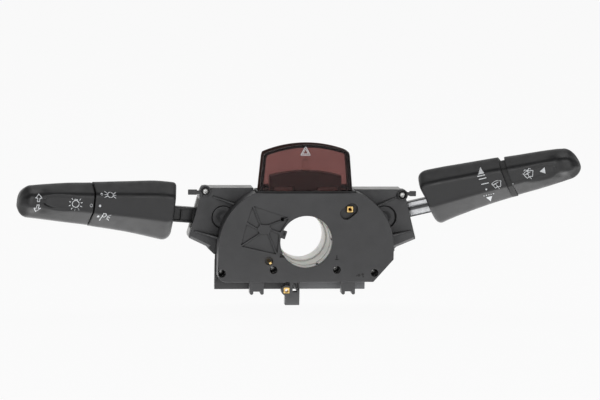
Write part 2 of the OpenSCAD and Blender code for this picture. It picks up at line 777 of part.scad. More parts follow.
module case_lid(o, screw_xz, rise, rib_high, rib_low) {
    disc_y = lid_inner_y - 0.3;
    dish_deep = 1;
    difference() {
        union() {
            difference() {
                intersection() {
                    slab(-60, case_joint_y) polygon(case_points(o, 0));
                    lid_wedge(0);
                }
                intersection() {
                    slab(-60, case_joint_y + 1) polygon(case_points(o, case_wall));
                    lid_wedge(2);
                }
                rod_y(pivot_x, pivot_z, disc_r, -60, disc_y);
            }
            rod_y(pivot_x, pivot_z, disc_r + 1, disc_y, disc_y + 2.2);
            rod_y(screw_xz.x, screw_xz.y, 4, lid_face_y(screw_xz.x) - 1.8, case_joint_y);
            case_rib(rib_high);
            case_rib(rib_low);
            release_tab(o);
        }
        difference() {
            rod_y(pivot_x, pivot_z, disc_r, disc_y - 1, disc_y + 0.9);
            rod_y(pivot_x, pivot_z, disc_r - 0.7, disc_y - 2, disc_y + 2);
        }
        translate([pivot_x, disc_y + dish_deep, pivot_z]) rotate([90, 0, 0])
            cylinder(r1 = 2.2, r2 = 5.4, h = dish_deep + 0.01);
        rod_y(pivot_x, pivot_z, pivot_pin_r + 0.02, pivot_pin_front, 0);
        rod_y(screw_xz.x, screw_xz.y, 3, -60, lid_face_y(screw_xz.x) - 0.3);
        rod_y(screw_xz.x, screw_xz.y, 1.3, -60, 0);
        arm_slot(rise);
        slab(-60, skirt_y + 0.2) polygon(cover_points(-0.25));
        lid_edge_cut(o, 2.2);
    }
}

// Sloping cut of size d along the lower outer edge of a lid
module lid_edge_cut(o, d) {
    a = [o[4], o[5]];
    b = [o[2], o[3] - 2];
    turn = atan2(b.y - a.y, b.x - a.x);
    hull() for (p = [toward(a, b, -3), b]) translate([p.x, lid_face_y(p.x), p.y])
        rotate([0, -turn, 0]) rotate([0, 90, 0])
            linear_extrude(0.01) polygon([[1.2, -0.5], [-d - 0.5, -0.5], [1.2, d + 1.2]]);
}

// Front end of the pivot pins, under the disc of the lid
pivot_pin_front = lid_inner_y + 1;

// Gusset between a lid and the cover: from x, z to x, z, growing to the driver
module case_rib(r) {
    run = norm([r[2] - r[0], r[3] - r[1]]);
    turn = atan2(r[3] - r[1], r[2] - r[0]);
    translate([r[0], 0, r[1]]) rotate([0, -turn, 0]) translate([0, 0, -0.6])
        linear_extrude(1.2) polygon([
            [0, lid_face_y(r[0]) + 1.5],
            [0, lid_face_y(r[0]) - 0.2],
            [run, lid_face_y(r[2]) - 8],
            [run, lid_face_y(r[2]) + 1.5]
        ]);
}

// Finger tab at the outer top corner that frees the case from the frame
module release_tab(o) {
    y0 = case_joint_y - 7;
    y1 = case_joint_y - 4.7;
    x = o[0] - 0.6;
    z = o[1] - 2.6;
    box([x, y0, z - 1.3], [x + o[7], y1, z + 1.1]);
    box([x + 3.8, y0, z - 1.9], [x + o[7], y1, z + 1.9]);
    box([x, y0, z - 3.6], [x + 2, y1, z]);
}

module switch_case(o, screw_xz, rise) {
    difference() {
        union() {
            difference() {
                slab(case_joint_y, case_back_y) polygon(case_points(o, 0));
                slab(case_joint_y - 1, case_back_y - 2) polygon(case_points(o, case_wall));
            }
            rod_y(pivot_x, pivot_z, 4.2, case_back_y - 3.8, case_back_y);
            intersection() {
                slab(case_joint_y, case_back_y) polygon(case_points(o, 0.3));
                union() {
                    rod_y(screw_xz.x, screw_xz.y, 3.2, case_joint_y, case_back_y);
                    for (p = frame_screw_xz) rod_y(p.x, p.y, 3.2, case_back_y - 9, case_back_y);
                }
            }
        }
        rod_y(pivot_x, pivot_z, pivot_pin_r + 0.02, -60, 1);
        rod_y(screw_xz.x, screw_xz.y, 1.25, -60, case_back_y - 2);
        for (p = frame_screw_xz) rod_y(p.x, p.y, 1.5, case_back_y - 8, 1);
        arm_slot(rise);
    }
}

module pivot_pin() {
    rod_y(pivot_x, pivot_z, pivot_pin_r, pivot_pin_front + 0.1, case_back_y - 0.5);
}

module yoke(rise) {
    yoke_frame(rise) difference() {
        union() {
            box([-6, -yoke_half_w, -fork_out], [5, yoke_half_w, fork_out]);
            for (v = [-fork_out, fork_gap])
                box([4, -yoke_half_w, v], [yoke_pin_u + 1, yoke_half_w, v + fork_out - fork_gap]);
            for (v = [-fork_out, fork_gap]) translate([yoke_pin_u, 0, v])
                cylinder(r = 4.4, h = fork_out - fork_gap);
            box([-14, -3.6, -3.6], [-5, 3.6, 3.6]);
        }
        rod_y(0, 0, pivot_pin_r + run_gap, -20, 20);
        translate([yoke_pin_u, 0, -20]) cylinder(r = yoke_pin_r + 0.02, h = 40);
        rod_x(0, 0, 2, -15, -8);
    }
}

module yoke_pin(rise) {
    yoke_frame(rise) translate([yoke_pin_u, 0, -fork_out - 0.2])
        cylinder(r = yoke_pin_r, h = 2 * fork_out + 0.4);
}

module plunger(rise) {
    yoke_frame(rise) {
        rod_x(0, 0, 1.95, -15.2, -8.2);
        translate([-15.2, 0, 0]) sphere(r = 1.95);
    }
}

// Notched track that the plunger rests in; its notches lie on the plunger's arc
module detent(rise, steps) {
    face_u = 17.4;
    yoke_frame(rise) difference() {
        box([-face_u - 1.4, -4, -9], [-face_u + 1, board_y - stalk_y, 9]);
        for (a = steps) rotate([0, -a, 0]) rod_y(-15.2, 0, 2.25, -6, 8);
    }
}

module contact_board(o) {
    difference() {
        slab(board_y, case_back_y - 2) polygon(case_points(o, case_wall + 0.5));
        rod_y(pivot_x, pivot_z, 4.3, -40, 1);
        for (p = frame_screw_xz) rod_y(p.x, p.y, 3.5, -40, 1);
        rod_y(o[0] - 3.5, o[1] - 3, 5.5, -40, 1);
    }
}

plug_x1 = 56;
plug_z0 = -4.5;
plug_z1 = 9.5;
plug_back = -1;

module connector_shroud() {
    difference() {
        box([case_inner_x + 0.5, case_back_y, plug_z0], [plug_x1, plug_back, plug_z1]);
        box([case_inner_x + 2.1, case_back_y + 1.6, plug_z0 + 1.6], [plug_x1 - 1.6, 1, plug_z1 - 1.6]);
    }
}

module terminal_rows() {
    for (i = [0:4]) for (z = [0.2, 5])
        box(
            [case_inner_x + 3.4 + i * 2.5, case_back_y + 1.6, z - 0.4],
            [case_inner_x + 4.2 + i * 2.5, plug_back - terminal_sink, z + 0.4]
        );
}

// Arm of a stalk: an eye on the yoke pin and a bar into the sleeve
module arm_eye() {
    difference() {
        union() {
            translate([0, 0, -fork_gap + free_gap]) cylinder(r = 4.2, h = 2 * (fork_gap - free_gap));
            box([0, -arm_t / 2, -fork_gap + free_gap], [8, arm_t / 2, fork_gap - free_gap]);
        }
        translate([0, 0, -10]) cylinder(r = yoke_pin_r + run_gap, h = 20);
    }
}

arm_in = 18;
// How far the knob's shaft and the cap's guide reach past or into the sleeves
shaft_out = 34;
guide_in = 9;
guide_len = 38;

module left_arm() {
    low = -arm_h / 2 - 1.5;
    high = arm_h / 2 - 1.5;
    bar_end = left_sleeve_start + arm_in;
    color(black_plastic) on_side(-1) stalk_frame(left_rise) difference() {
        union() {
            arm_eye();
            box([6, -arm_t / 2, low], [bar_end, arm_t / 2, high]);
            rod_x(0, 0, knob_shaft_r, bar_end - 2, left_sleeve_start + left_sleeve_len + shaft_out);
        }
        box([13, -arm_t / 2 - 1, low + 1.6], [22, -arm_t / 2 + 1.2, high - 1.6]);
        box([23, -arm_t / 2 - 1, low + 1.6], [left_sleeve_start - 1, -arm_t / 2 + 1.6, high - 1.6]);
    }
}

module right_arm() {
    low = -arm_h / 2;
    high = arm_h / 2;
    bar_end = right_sleeve_start + right_sleeve_len - guide_in - 3;
    groove_in = 1.8;
    grooves = [[high - 3.9, high - 1.4], [low + 1, low + 2.6]];
    color(aluminium) stalk_frame(right_rise) difference() {
        union() {
            arm_eye();
            box([6, -arm_t / 2, low], [bar_end, arm_t / 2, high]);
        }
        for (s = [-1, 1]) for (g = grooves)
            box([12, s * arm_t / 2 - groove_in, g[0]], [bar_end + 1, s * arm_t / 2 + groove_in, g[1]]);
    }
}

// Thin slice of the stalk's section: flat face to the driver, soft shoulders, round back
module stalk_slice(u, half_h, half_t, tilt, centre, i) {
    h = half_h - i;
    t = half_t - i;
    corners = [
        [-t + 3, 0.74 * h - 3, 3], [-t + 3, -0.42 * h + 3, 3],
        [-0.15 * t, h - 4, 4], [-0.05 * t, -h + 4, 4],
        [t - 6, 0.55 * h - 3, 6], [t - 6, -0.55 * h + 3, 6]
    ];
    translate([u, 0, centre]) rotate([0, -tilt, 0]) for (c = corners)
        translate([0, c[0], c[1]]) rotate([0, 90, 0]) cylinder(r = c[2], h = 0.1, $fn = 28);
}

function mix(a, b, f) = a + (b - a) * f;

module stalk_sleeve(start, len, root_tilt, split_tilt, centre) {
    wall = 2.4;
    solid_from = len - 20;
    f = solid_from / len;
    difference() {
        hull() {
            stalk_slice(start, root_half_h - 1.2, root_half_t - 1, root_tilt, centre, 0);
            stalk_slice(start + 2, root_half_h, root_half_t, root_tilt, centre, 0);
            stalk_slice(start + len - 0.1, split_half_h, split_half_t, split_tilt, centre, 0);
        }
        hull() {
            stalk_slice(start + 3, root_half_h, root_half_t, root_tilt, centre, wall);
            stalk_slice(
                start + solid_from, mix(root_half_h, split_half_h, f),
                mix(root_half_t, split_half_t, f), split_tilt, centre, wall
            );
        }
    }
}

module left_sleeve() {
    color(black_plastic) on_side(-1) stalk_frame(left_rise) difference() {
        stalk_sleeve(left_sleeve_start, left_sleeve_len, left_tilt, 0, left_centre);
        box(
            [0, -arm_t / 2 - 0.05, -arm_h / 2 - 1.55],
            [left_sleeve_start + 10, arm_t / 2 + 0.05, arm_h / 2 - 1.45]
        );
        rod_x(
            0, 0, knob_shaft_r + 0.02, left_sleeve_start + 10, left_sleeve_start + left_sleeve_len + 5
        );
    }
}

left_centre = 1;
left_tilt = 4;

// Rounded body of a knob or cap, from its flat end to its sloping tip
module knob_body(from, len, tilt, centre, tip_centre) {
    hull() {
        stalk_slice(from, split_half_h, split_half_t, tilt, centre, 0);
        stalk_slice(from + len - 15, tip_half_h, tip_half_t, 0, tip_centre, 0);
        for (v = [-2.5, 1.5]) translate([from + len - 8, 1.6, tip_centre + v]) sphere(r = 8, $fn = 30);
    }
}

// Oval dish for the thumb in the face of a knob
module thumb_dish(from, centre, in_r, out_r) {
    y = -mix(split_half_t, tip_half_t, 0.4);
    slab(y - 3, y + 0.9) polygon(concat(
        arc(from + 35, centre + 1.5, out_r, -90, 90, 12),
        arc(from + 15, centre + 1.5, in_r, 90, 270, 12)
    ));
}

module left_knob() {
    from = left_sleeve_start + left_sleeve_len + knob_gap;
    color(black_plastic) on_side(-1) stalk_frame(left_rise) difference() {
        knob_body(from, knob_len, 0, left_centre, 0);
        thumb_dish(from, 0, 6.6, 5);
        rod_x(0, 0, knob_shaft_r + run_gap, from - 1, from + shaft_out);
    }
}

right_centre = 6;
right_tilt = 5;
right_sleeve_end = right_sleeve_start + right_sleeve_len;

module right_sleeve() {
    color(black_plastic) stalk_frame(right_rise) difference() {
        stalk_sleeve(right_sleeve_start, right_sleeve_len, right_tilt, right_tilt, right_centre);
        box(
            [0, -arm_t / 2 - 0.05, -arm_h / 2 - 0.05],
            [right_sleeve_end - guide_in - 3, arm_t / 2 + 0.05, arm_h / 2 + 0.05]
        );
        rod_x(0, right_centre, cap_guide_r + 0.02, right_sleeve_end - guide_in, right_sleeve_end + 5);
    }
}

module right_cap_guide() {
    from = right_sleeve_end - guide_in;
    color(black_plastic) stalk_frame(right_rise) difference() {
        union() {
            rod_x(0, right_centre, cap_guide_r, from, from + guide_len);
            neck(right_sleeve_end + 0.05, right_sleeve_end + neck_len, cap_rim + free_gap);
        }
        rod_x(0, right_centre, cap_guide_r - 1.8, from + 4, from + guide_len + 1);
    }
}

// Length of handle section drawn in by i: the neck in the gap, and the pocket that it slides in
module neck(u0, u1, i) {
    hull() for (u = [u0, u1 - 0.1])
        stalk_slice(u, split_half_h, split_half_t, right_tilt, right_centre, i);
}

cap_from = right_sleeve_end + cap_travel + 0.4;
cap_bore_deep = 34;
neck_len = cap_travel + 1.4;

module right_cap() {
    color(black_plastic) stalk_frame(right_rise) difference() {
        knob_body(cap_from, cap_len, right_tilt, right_centre, right_centre);
        neck(cap_from - 3, cap_from + neck_len, cap_rim);
        thumb_dish(cap_from, right_centre, 6.2, 6.2);
        rod_x(0, right_centre, cap_guide_r + run_gap, cap_from - 5, cap_from + cap_bore_deep);
    }
}

module right_cap_spring() {
    from = right_sleeve_end - guide_in + 4;
    color(steel) stalk_frame(right_rise) translate([from, 0, right_centre]) rotate([0, 90, 0])
        coil(5, 0.6, 6, cap_from + cap_bore_deep - from);
}

left_rib_high = [68.7, 32.1, 49.8, 26];
left_rib_low = [82.4, 6.6, 65.2, 2.2];
right_rib_high = [68, 31.2, 51.3, 24.2];
right_rib_low = [80.6, 6.5, 65.2, 3.8];

module left_case() {
    color(natural_plastic) on_side(-1) switch_case(left_outline, left_lid_screw, left_rise);
}
module left_case_lid() {
    color(dark_plastic) on_side(-1)
        case_lid(left_outline, left_lid_screw, left_rise, left_rib_high, left_rib_low);
}
module left_pivot_pin() { color(steel) on_side(-1) pivot_pin(); }
module left_yoke() { color(natural_plastic) on_side(-1) yoke(left_rise); }
module left_yoke_pin() { color(steel) on_side(-1) yoke_pin(left_rise); }
module left_plunger() { color(natural_plastic) on_side(-1) plunger(left_rise); }
module left_detent() { color(black_plastic) on_side(-1) detent(left_rise, [-7, 0, 7]); }
module left_contact_board() { color(board_green) on_side(-1) contact_board(left_outline); }
module left_connector() { color(black_plastic) on_side(-1) connector_shroud(); }
module left_terminals() { color(tin) on_side(-1) terminal_rows(); }

module right_case() { color(natural_plastic) switch_case(right_outline, right_lid_screw, right_rise); }
module right_case_lid() {
    slot_y = lid_inner_y + 0.6;
    color(dark_plastic) difference() {
        case_lid(right_outline, right_lid_screw, right_rise, right_rib_high, right_rib_low);
        translate([pivot_x + 0.6, 0, pivot_z + 0.4]) rotate([0, -38, 0])
            box([-1.4, -60, -3.6], [1.4, slot_y, 3.6]);
    }
}
module right_pivot_pin() { color(steel) pivot_pin(); }
module right_yoke() { color(natural_plastic) yoke(right_rise); }
module right_yoke_pin() { color(steel) yoke_pin(right_rise); }
module right_plunger() { color(natural_plastic) plunger(right_rise); }
module right_detent() { color(black_plastic) detent(right_rise, [-6, 0, 6, 12]); }
module right_contact_board() { color(board_green) contact_board(right_outline); }
module right_connector() { color(black_plastic) connector_shroud(); }
module right_terminals() { color(tin) terminal_rows(); }

front_cover();
main_frame();
column_sleeve();
clamp_band();
clamp_screw();
clamp_nut();
cover_screws();
case_screws();
frame_screws();
square_nuts();
horn_bush();
horn_pin();
horn_spring();
cancel_pawl();
cancel_pawl_pin();
cancel_spring();
hazard_base();
hazard_core();
hazard_lens();
hazard_bulb();
hazard_springs();
connector_housing();
connector_terminals();
left_case();
left_case_lid();
left_pivot_pin();
left_yoke();
left_yoke_pin();
left_plunger();
left_detent();
left_contact_board();
left_connector();
left_terminals();
left_arm();
left_sleeve();
left_knob();
right_case();
right_case_lid();
right_pivot_pin();
right_yoke();
right_yoke_pin();
right_plunger();
right_detent();
right_contact_board();
right_connector();
right_terminals();
right_arm();
right_sleeve();
right_cap_guide();
right_cap();
right_cap_spring();
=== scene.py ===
"""Looks of the combination stalk switch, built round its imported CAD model."""

import json
import math

import bmesh
import bpy
from mathutils import Matrix, Vector
from mathutils.bvhtree import BVHTree


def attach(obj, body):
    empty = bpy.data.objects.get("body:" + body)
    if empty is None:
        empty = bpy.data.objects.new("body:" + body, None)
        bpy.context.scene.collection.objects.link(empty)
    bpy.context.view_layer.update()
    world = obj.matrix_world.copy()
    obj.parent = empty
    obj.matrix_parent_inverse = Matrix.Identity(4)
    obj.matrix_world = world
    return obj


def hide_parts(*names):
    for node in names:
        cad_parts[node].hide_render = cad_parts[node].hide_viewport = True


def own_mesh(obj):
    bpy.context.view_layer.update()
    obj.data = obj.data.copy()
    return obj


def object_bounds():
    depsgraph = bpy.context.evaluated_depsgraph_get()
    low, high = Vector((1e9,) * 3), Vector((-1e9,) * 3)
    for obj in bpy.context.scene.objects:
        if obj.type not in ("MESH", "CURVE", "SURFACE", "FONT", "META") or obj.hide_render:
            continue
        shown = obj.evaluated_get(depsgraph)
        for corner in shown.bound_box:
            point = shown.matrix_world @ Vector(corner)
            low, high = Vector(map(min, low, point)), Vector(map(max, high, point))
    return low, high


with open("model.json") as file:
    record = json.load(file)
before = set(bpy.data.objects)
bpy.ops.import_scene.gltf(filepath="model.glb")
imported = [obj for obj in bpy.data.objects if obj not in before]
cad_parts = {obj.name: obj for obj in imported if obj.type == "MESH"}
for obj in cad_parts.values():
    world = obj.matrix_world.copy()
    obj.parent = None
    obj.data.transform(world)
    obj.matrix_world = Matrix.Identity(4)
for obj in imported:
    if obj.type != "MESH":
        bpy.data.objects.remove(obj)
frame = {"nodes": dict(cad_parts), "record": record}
CAD_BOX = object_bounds()
BODIES = {n: b for b, nodes in frame["record"]["behaviour"]["bodies"].items() for n in nodes}
JOINTS = frame["record"]["behaviour"]["joints"]
TRAVEL = {j["name"]: j["range_m"][1] for j in JOINTS if j["type"] == "slide"}

bl_info = {
    "name": "Combination Stalk Switch",
    "version": (1, 0, 0),
    "blender": (4, 5, 0),
    "location": "View3D > Sidebar > Stalk Switch",
    "description": "Detailed stalk switch with its finishes, stage and camera",
    "category": "Add Mesh",
}

MM = 0.001

# The photograph and its camera
PHOTO_WIDTH, PHOTO_HEIGHT = 600, 400
SENSOR_MM = 36.0
LENS_MM = 200.0
MM_PER_PIXEL = 0.74
HOLE_PIXEL = (306.6, 242.2)
HOLE_CENTRE = Vector((0.0, -47.0, 0.0))
VIEW_AZIMUTH = math.radians(-7.5)
VIEW_ELEVATION = math.radians(7.5)
VIEW_ROLL = math.radians(0.98)

# Stalk frames, left -1 and right 1: lean to the driver, rise, pivot of the yoke and its pin
LEAN = math.radians(15)
RISE = {-1: math.radians(6.2), 1: math.radians(15.3)}
PIVOT = Vector((60.6, -21.6, 16.5))
YOKE_PIN = 10.0

# Rounding of a moulded edge, in millimetres
EDGE_ROUND = 0.3


def length_property(name, description, default, low, high):
    """A length, given here in millimetres and kept in metres."""
    return bpy.props.FloatProperty(
        name=name, description=description, unit="LENGTH", precision=5,
        default=default * MM, min=low * MM, max=high * MM,
    )


def colour_property(name, description, default):
    return bpy.props.FloatVectorProperty(
        name=name, description=description, subtype="COLOR", size=3, default=default, min=0, max=1
    )


class SwitchSizes(bpy.types.PropertyGroup):
    edge_round: length_property("Edge rounding", "Radius of moulded edges", EDGE_ROUND, 0.05, 0.6)
    grain_size: length_property("Grain size", "Size of the moulded grain", 0.45, 0.1, 2.0)
    print_lift: length_property("Print lift", "Height of the prints over the plastic", 0.04, 0.01, 0.2)
    stroke: length_property("Stroke", "Width of the printed lines", 0.55, 0.2, 1.2)
    dish_depth: length_property("Dish depth", "Depth of the thumb dishes", 1.5, 0.0, 2.5)


class SwitchColours(bpy.types.PropertyGroup):
    cover: colour_property("Cover", "Dark grey of the cover and lids", (0.044, 0.044, 0.046))
    stalk: colour_property("Stalks", "Black of the handles", (0.018, 0.018, 0.019))
    carrier: colour_property("Carrier", "Black of the frame behind the cover", (0.013, 0.013, 0.014))
    natural: colour_property("Natural plastic", "Uncoloured plastic of the sleeve", (0.80, 0.79, 0.755))
    lens: colour_property("Lens", "Red of the hazard button", (0.439, 0.15, 0.129))
    printed: colour_property("Print", "White of the printed symbols", (0.80, 0.82, 0.84))


# Materials

# Noise scales, in waves to the metre
BLOTCHES, SHEEN, LENS_TONES, HAZE = 45, 160, 60, 700
STAINS, SCRATCHES, INK = 220, 1800, 2600
# The span that noise mostly keeps to
NOISE_SPAN = (0.3, 0.7)
# Painted shade in hollows: how near a wall counts, in millimetres, the openness it spans, and its
# deepest tone
PAINTED_SHADE_REACH, PAINTED_SHADE_SPAN, PAINTED_SHADE_TONE = 1.6, (0.35, 0.9), 0.12
# Lighter edges, partly rubbed and partly painted highlight: width in millimetres, the cosines of turning
# they span, and their colour
LIGHT_EDGE_WIDTH, LIGHT_EDGE_SPAN, WEAR_AND_HIGHLIGHT_COLOUR = 0.3, (0.995, 0.85), (0.30, 0.30, 0.31, 1)
# Size of the normal's Y where a lens's side wall ends and where its front begins
LENS_WALL, LENS_FRONT = 0.55, 0.85
WHITE = (1, 1, 1, 1)


def feed(tree, node, inputs):
    """Sets each named input of a node, or links it where its value is another node's output."""
    for name, value in inputs.items():
        if isinstance(value, bpy.types.NodeSocket):
            tree.links.new(value, node.inputs[name])
        else:
            node.inputs[name].default_value = value


def add(tree, kind, inputs=None, **settings):
    """New shader node of a kind, with its settings and inputs."""
    node = tree.nodes.new("ShaderNode" + kind)
    for name, value in settings.items():
        setattr(node, name, value)
    feed(tree, node, inputs or {})
    return node


def map_range(tree, value, from_low, from_high, to_low=0.0, to_high=1.0):
    """Maps value from one span to another and holds it there."""
    limits = {"From Min": from_low, "From Max": from_high, "To Min": to_low, "To Max": to_high}
    return add(tree, "MapRange", {"Value": value, **limits}).outputs["Result"]


def mixed(tree, a, b, factor, kind="RGBA", blend="MIX"):
    """a where factor is 0, b where it is 1."""
    inputs = {"A": a, "B": b, "Factor": factor}
    return add(tree, "Mix", inputs, data_type=kind, blend_type=blend).outputs["Result"]


def dot(tree, a, b):
    return add(tree, "VectorMath", {0: a, 1: b}, operation="DOT_PRODUCT").outputs["Value"]


def calculated(tree, operation, *values):
    return add(tree, "Math", dict(enumerate(values)), operation=operation).outputs["Value"]


def ray_is(tree, *kinds):
    """1 on rays of the named kinds, 0 on others."""
    rays = add(tree, "LightPath")
    first, *others = [rays.outputs["Is %s Ray" % kind] for kind in kinds]
    for other in others:
        first = calculated(tree, "MAXIMUM", first, other)
    return first


def new_material(name):
    material = bpy.data.materials.new(name)
    material.use_nodes = True
    tree = material.node_tree
    return material, tree, tree.nodes["Principled BSDF"]


def object_space(tree):
    """The object's own space, where one unit is a metre."""
    return add(tree, "TexCoord").outputs["Object"]


def noise_at(tree, where, scale, detail=3.0):
    return add(tree, "TexNoise", {"Vector": where, "Scale": scale, "Detail": detail}).outputs["Fac"]


def spread(tree, noise, low, high):
    """Maps noise from its usual span to low...high."""
    return map_range(tree, noise, *NOISE_SPAN, low, high)


def mottled(tree, colour, noise, amount):
    """Colour that drifts by amount either way with noise."""
    dark, light = [(*[min(c * part, 1) for c in colour], 1) for part in (1 - amount, 1 + amount)]
    return mixed(tree, dark, light, spread(tree, noise, 0, 1))


def painted_hollow_shade(tree, colour):
    """Painted shade: darkens colour where walls stand close by."""
    open_air = add(tree, "AmbientOcclusion", {"Distance": PAINTED_SHADE_REACH * MM}, samples=6).outputs["AO"]
    shade = map_range(tree, open_air, *PAINTED_SHADE_SPAN, PAINTED_SHADE_TONE)
    return mixed(tree, colour, shade, 1.0, blend="MULTIPLY")


def edge_wear_and_highlight(tree, colour, wear_and_highlight):
    """Colour that is lighter where the surface turns a corner, partly rubbed and partly painted
    highlight, and the normal of the rounded corner.
    """
    rounded = add(tree, "Bevel", {"Radius": LIGHT_EDGE_WIDTH * MM}, samples=4).outputs["Normal"]
    flat = add(tree, "NewGeometry").outputs["Normal"]
    edge = map_range(tree, dot(tree, rounded, flat), *LIGHT_EDGE_SPAN, 0.0, wear_and_highlight)
    return mixed(tree, colour, WEAR_AND_HIGHLIGHT_COLOUR, edge), rounded


def grain_bump(tree, height, depth, normal=None):
    """Normal of a grain with its depth in millimetres."""
    bump = add(tree, "Bump", {"Strength": 1.0, "Distance": depth * MM, "Height": height})
    if normal is not None:
        feed(tree, bump, {"Normal": normal})
    return bump.outputs["Normal"]


def moulded_plastic(name, colour, grain, depth, rough, wear_and_highlight, blotch=0.07):
    """Spark-eroded moulded plastic: fine grain, uneven sheen, painted shade in hollows, and lighter
    edges that are partly rubbed and partly painted highlight.
    """
    material, tree, shader = new_material(name)
    where = object_space(tree)
    tone = mottled(tree, colour, noise_at(tree, where, BLOTCHES), blotch)
    tone, rounded = edge_wear_and_highlight(tree, painted_hollow_shade(tree, tone), wear_and_highlight)
    feed(tree, shader, {
        "Base Color": tone,
        "Roughness": spread(tree, noise_at(tree, where, SHEEN), rough - 0.06, rough + 0.08),
        "Normal": grain_bump(tree, noise_at(tree, where, 1 / grain, 4.0), depth, rounded),
    })
    return material


def metal(name, colour, rough, streaks=(1, 1, 1)):
    """Bare metal with fine scratches, drawn out along the axes where streaks is small."""
    material, tree, shader = new_material(name)
    where = object_space(tree)
    stretched = add(tree, "Mapping", {"Vector": where, "Scale": streaks}).outputs["Vector"]
    scratches = noise_at(tree, stretched, SCRATCHES, 4.0)
    feed(tree, shader, {
        "Metallic": 1.0,
        "Base Color": mottled(tree, colour, noise_at(tree, where, STAINS), 0.12),
        "Roughness": spread(tree, scratches, rough - 0.07, rough + 0.1),
        "Normal": grain_bump(tree, scratches, 0.012),
    })
    return material


def clear_plastic(name, colour, rough, haze):
    """Clear moulding with a faint haze in its surface."""
    material, tree, shader = new_material(name)
    where = object_space(tree)
    fine = noise_at(tree, where, HAZE)
    feed(tree, shader, {
        "Transmission Weight": 1.0,
        "IOR": 1.49,
        "Base Color": mottled(tree, colour, noise_at(tree, where, LENS_TONES), 0.05),
        "Roughness": spread(tree, fine, rough, rough + haze),
        "Normal": grain_bump(tree, fine, 0.004),
    })
    return material


def facing_front(tree):
    """1 on faces that point along Y, 0 on side walls."""
    normal = add(tree, "NewGeometry").outputs["Normal"]
    along = add(tree, "SeparateXYZ", {"Vector": normal}).outputs["Y"]
    return map_range(tree, calculated(tree, "ABSOLUTE", along), LENS_WALL, LENS_FRONT)


def red_lens(name, surface, tint, wall):
    """Lens coloured through its thickness, with a clear front and back, and textured side walls painted
    opaque and dark: painted shade standing for the light's long way through the red.
    """
    material = clear_plastic(name, surface, 0.12, 0.10)
    tree = material.node_tree
    shader = tree.nodes["Principled BSDF"]
    body = add(tree, "VolumeAbsorption", {"Density": 700, "Color": (*tint, 1)}).outputs["Volume"]
    feed(tree, tree.nodes["Material Output"], {"Volume": body})
    front = facing_front(tree)
    tone, rough = [shader.inputs[n].links[0].from_socket for n in ("Base Color", "Roughness")]
    # Painted shade: the side walls take the dark colour and lose their clearness
    feed(tree, shader, {
        "Base Color": mixed(tree, (*wall, 1), tone, front),
        "Roughness": mixed(tree, 0.95, rough, front, "FLOAT"),
        "Transmission Weight": front,
        "Metallic": calculated(tree, "SUBTRACT", 1.0, front),
        "Specular Tint": (0.5, 0.45, 0.45, 1),
    })
    return material


# Half the height of the right arm, and its bands from below, the dark ones painted shade of its grooves:
# height from 0 to 1, and tone
ARM_HALF = 6.6
ARM_SHADE_BANDS = (
    (0.0, 0.03), (0.10, 0.06), (0.16, 1.0), (0.40, 0.8), (0.46, 0.14), (0.60, 0.08),
    (0.68, 1.0), (0.84, 0.95), (0.90, 0.06), (1.0, 0.03),
)


def arm_with_painted_groove_shade(name, rise):
    """Drawn aluminium section: bright ribs along the bar, with black bands of painted shade where its
    grooves lie between them.
    """
    material = metal(name, (0.62, 0.625, 0.64), 0.30, (0.06, 1, 1))
    tree = material.node_tree
    shader = tree.nodes["Principled BSDF"]
    up = Vector((-math.sin(rise), 0, math.cos(rise)))
    low, high = [(PIVOT.dot(up) + half) * MM for half in (-ARM_HALF, ARM_HALF)]
    height = map_range(tree, dot(tree, object_space(tree), up), low, high)
    # Painted shade: the bands darken the bare metal's colour along the grooves
    ramp = add(tree, "ValToRGB", {"Fac": height})
    ramp.color_ramp.interpolation = "EASE"
    stops = ramp.color_ramp.elements
    while len(stops) < len(ARM_SHADE_BANDS):
        stops.new(0.5)
    for stop, (place, _) in zip(stops, ARM_SHADE_BANDS):
        stop.position = place
    for stop, (_, tone) in zip(stops, ARM_SHADE_BANDS):
        stop.color = (tone, tone, tone, 1)
    bare = shader.inputs["Base Color"].links[0].from_socket
    feed(tree, shader, {"Base Color": mixed(tree, bare, ramp.outputs["Color"], 1.0, blend="MULTIPLY")})
    return material


def white_print(name, colour):
    material, tree, shader = new_material(name)
    fine = noise_at(tree, object_space(tree), INK)
    feed(tree, shader, {
        "Base Color": mottled(tree, colour, fine, 0.08), "Roughness": spread(tree, fine, 0.45, 0.6),
    })
    return material


FINISHES = {}


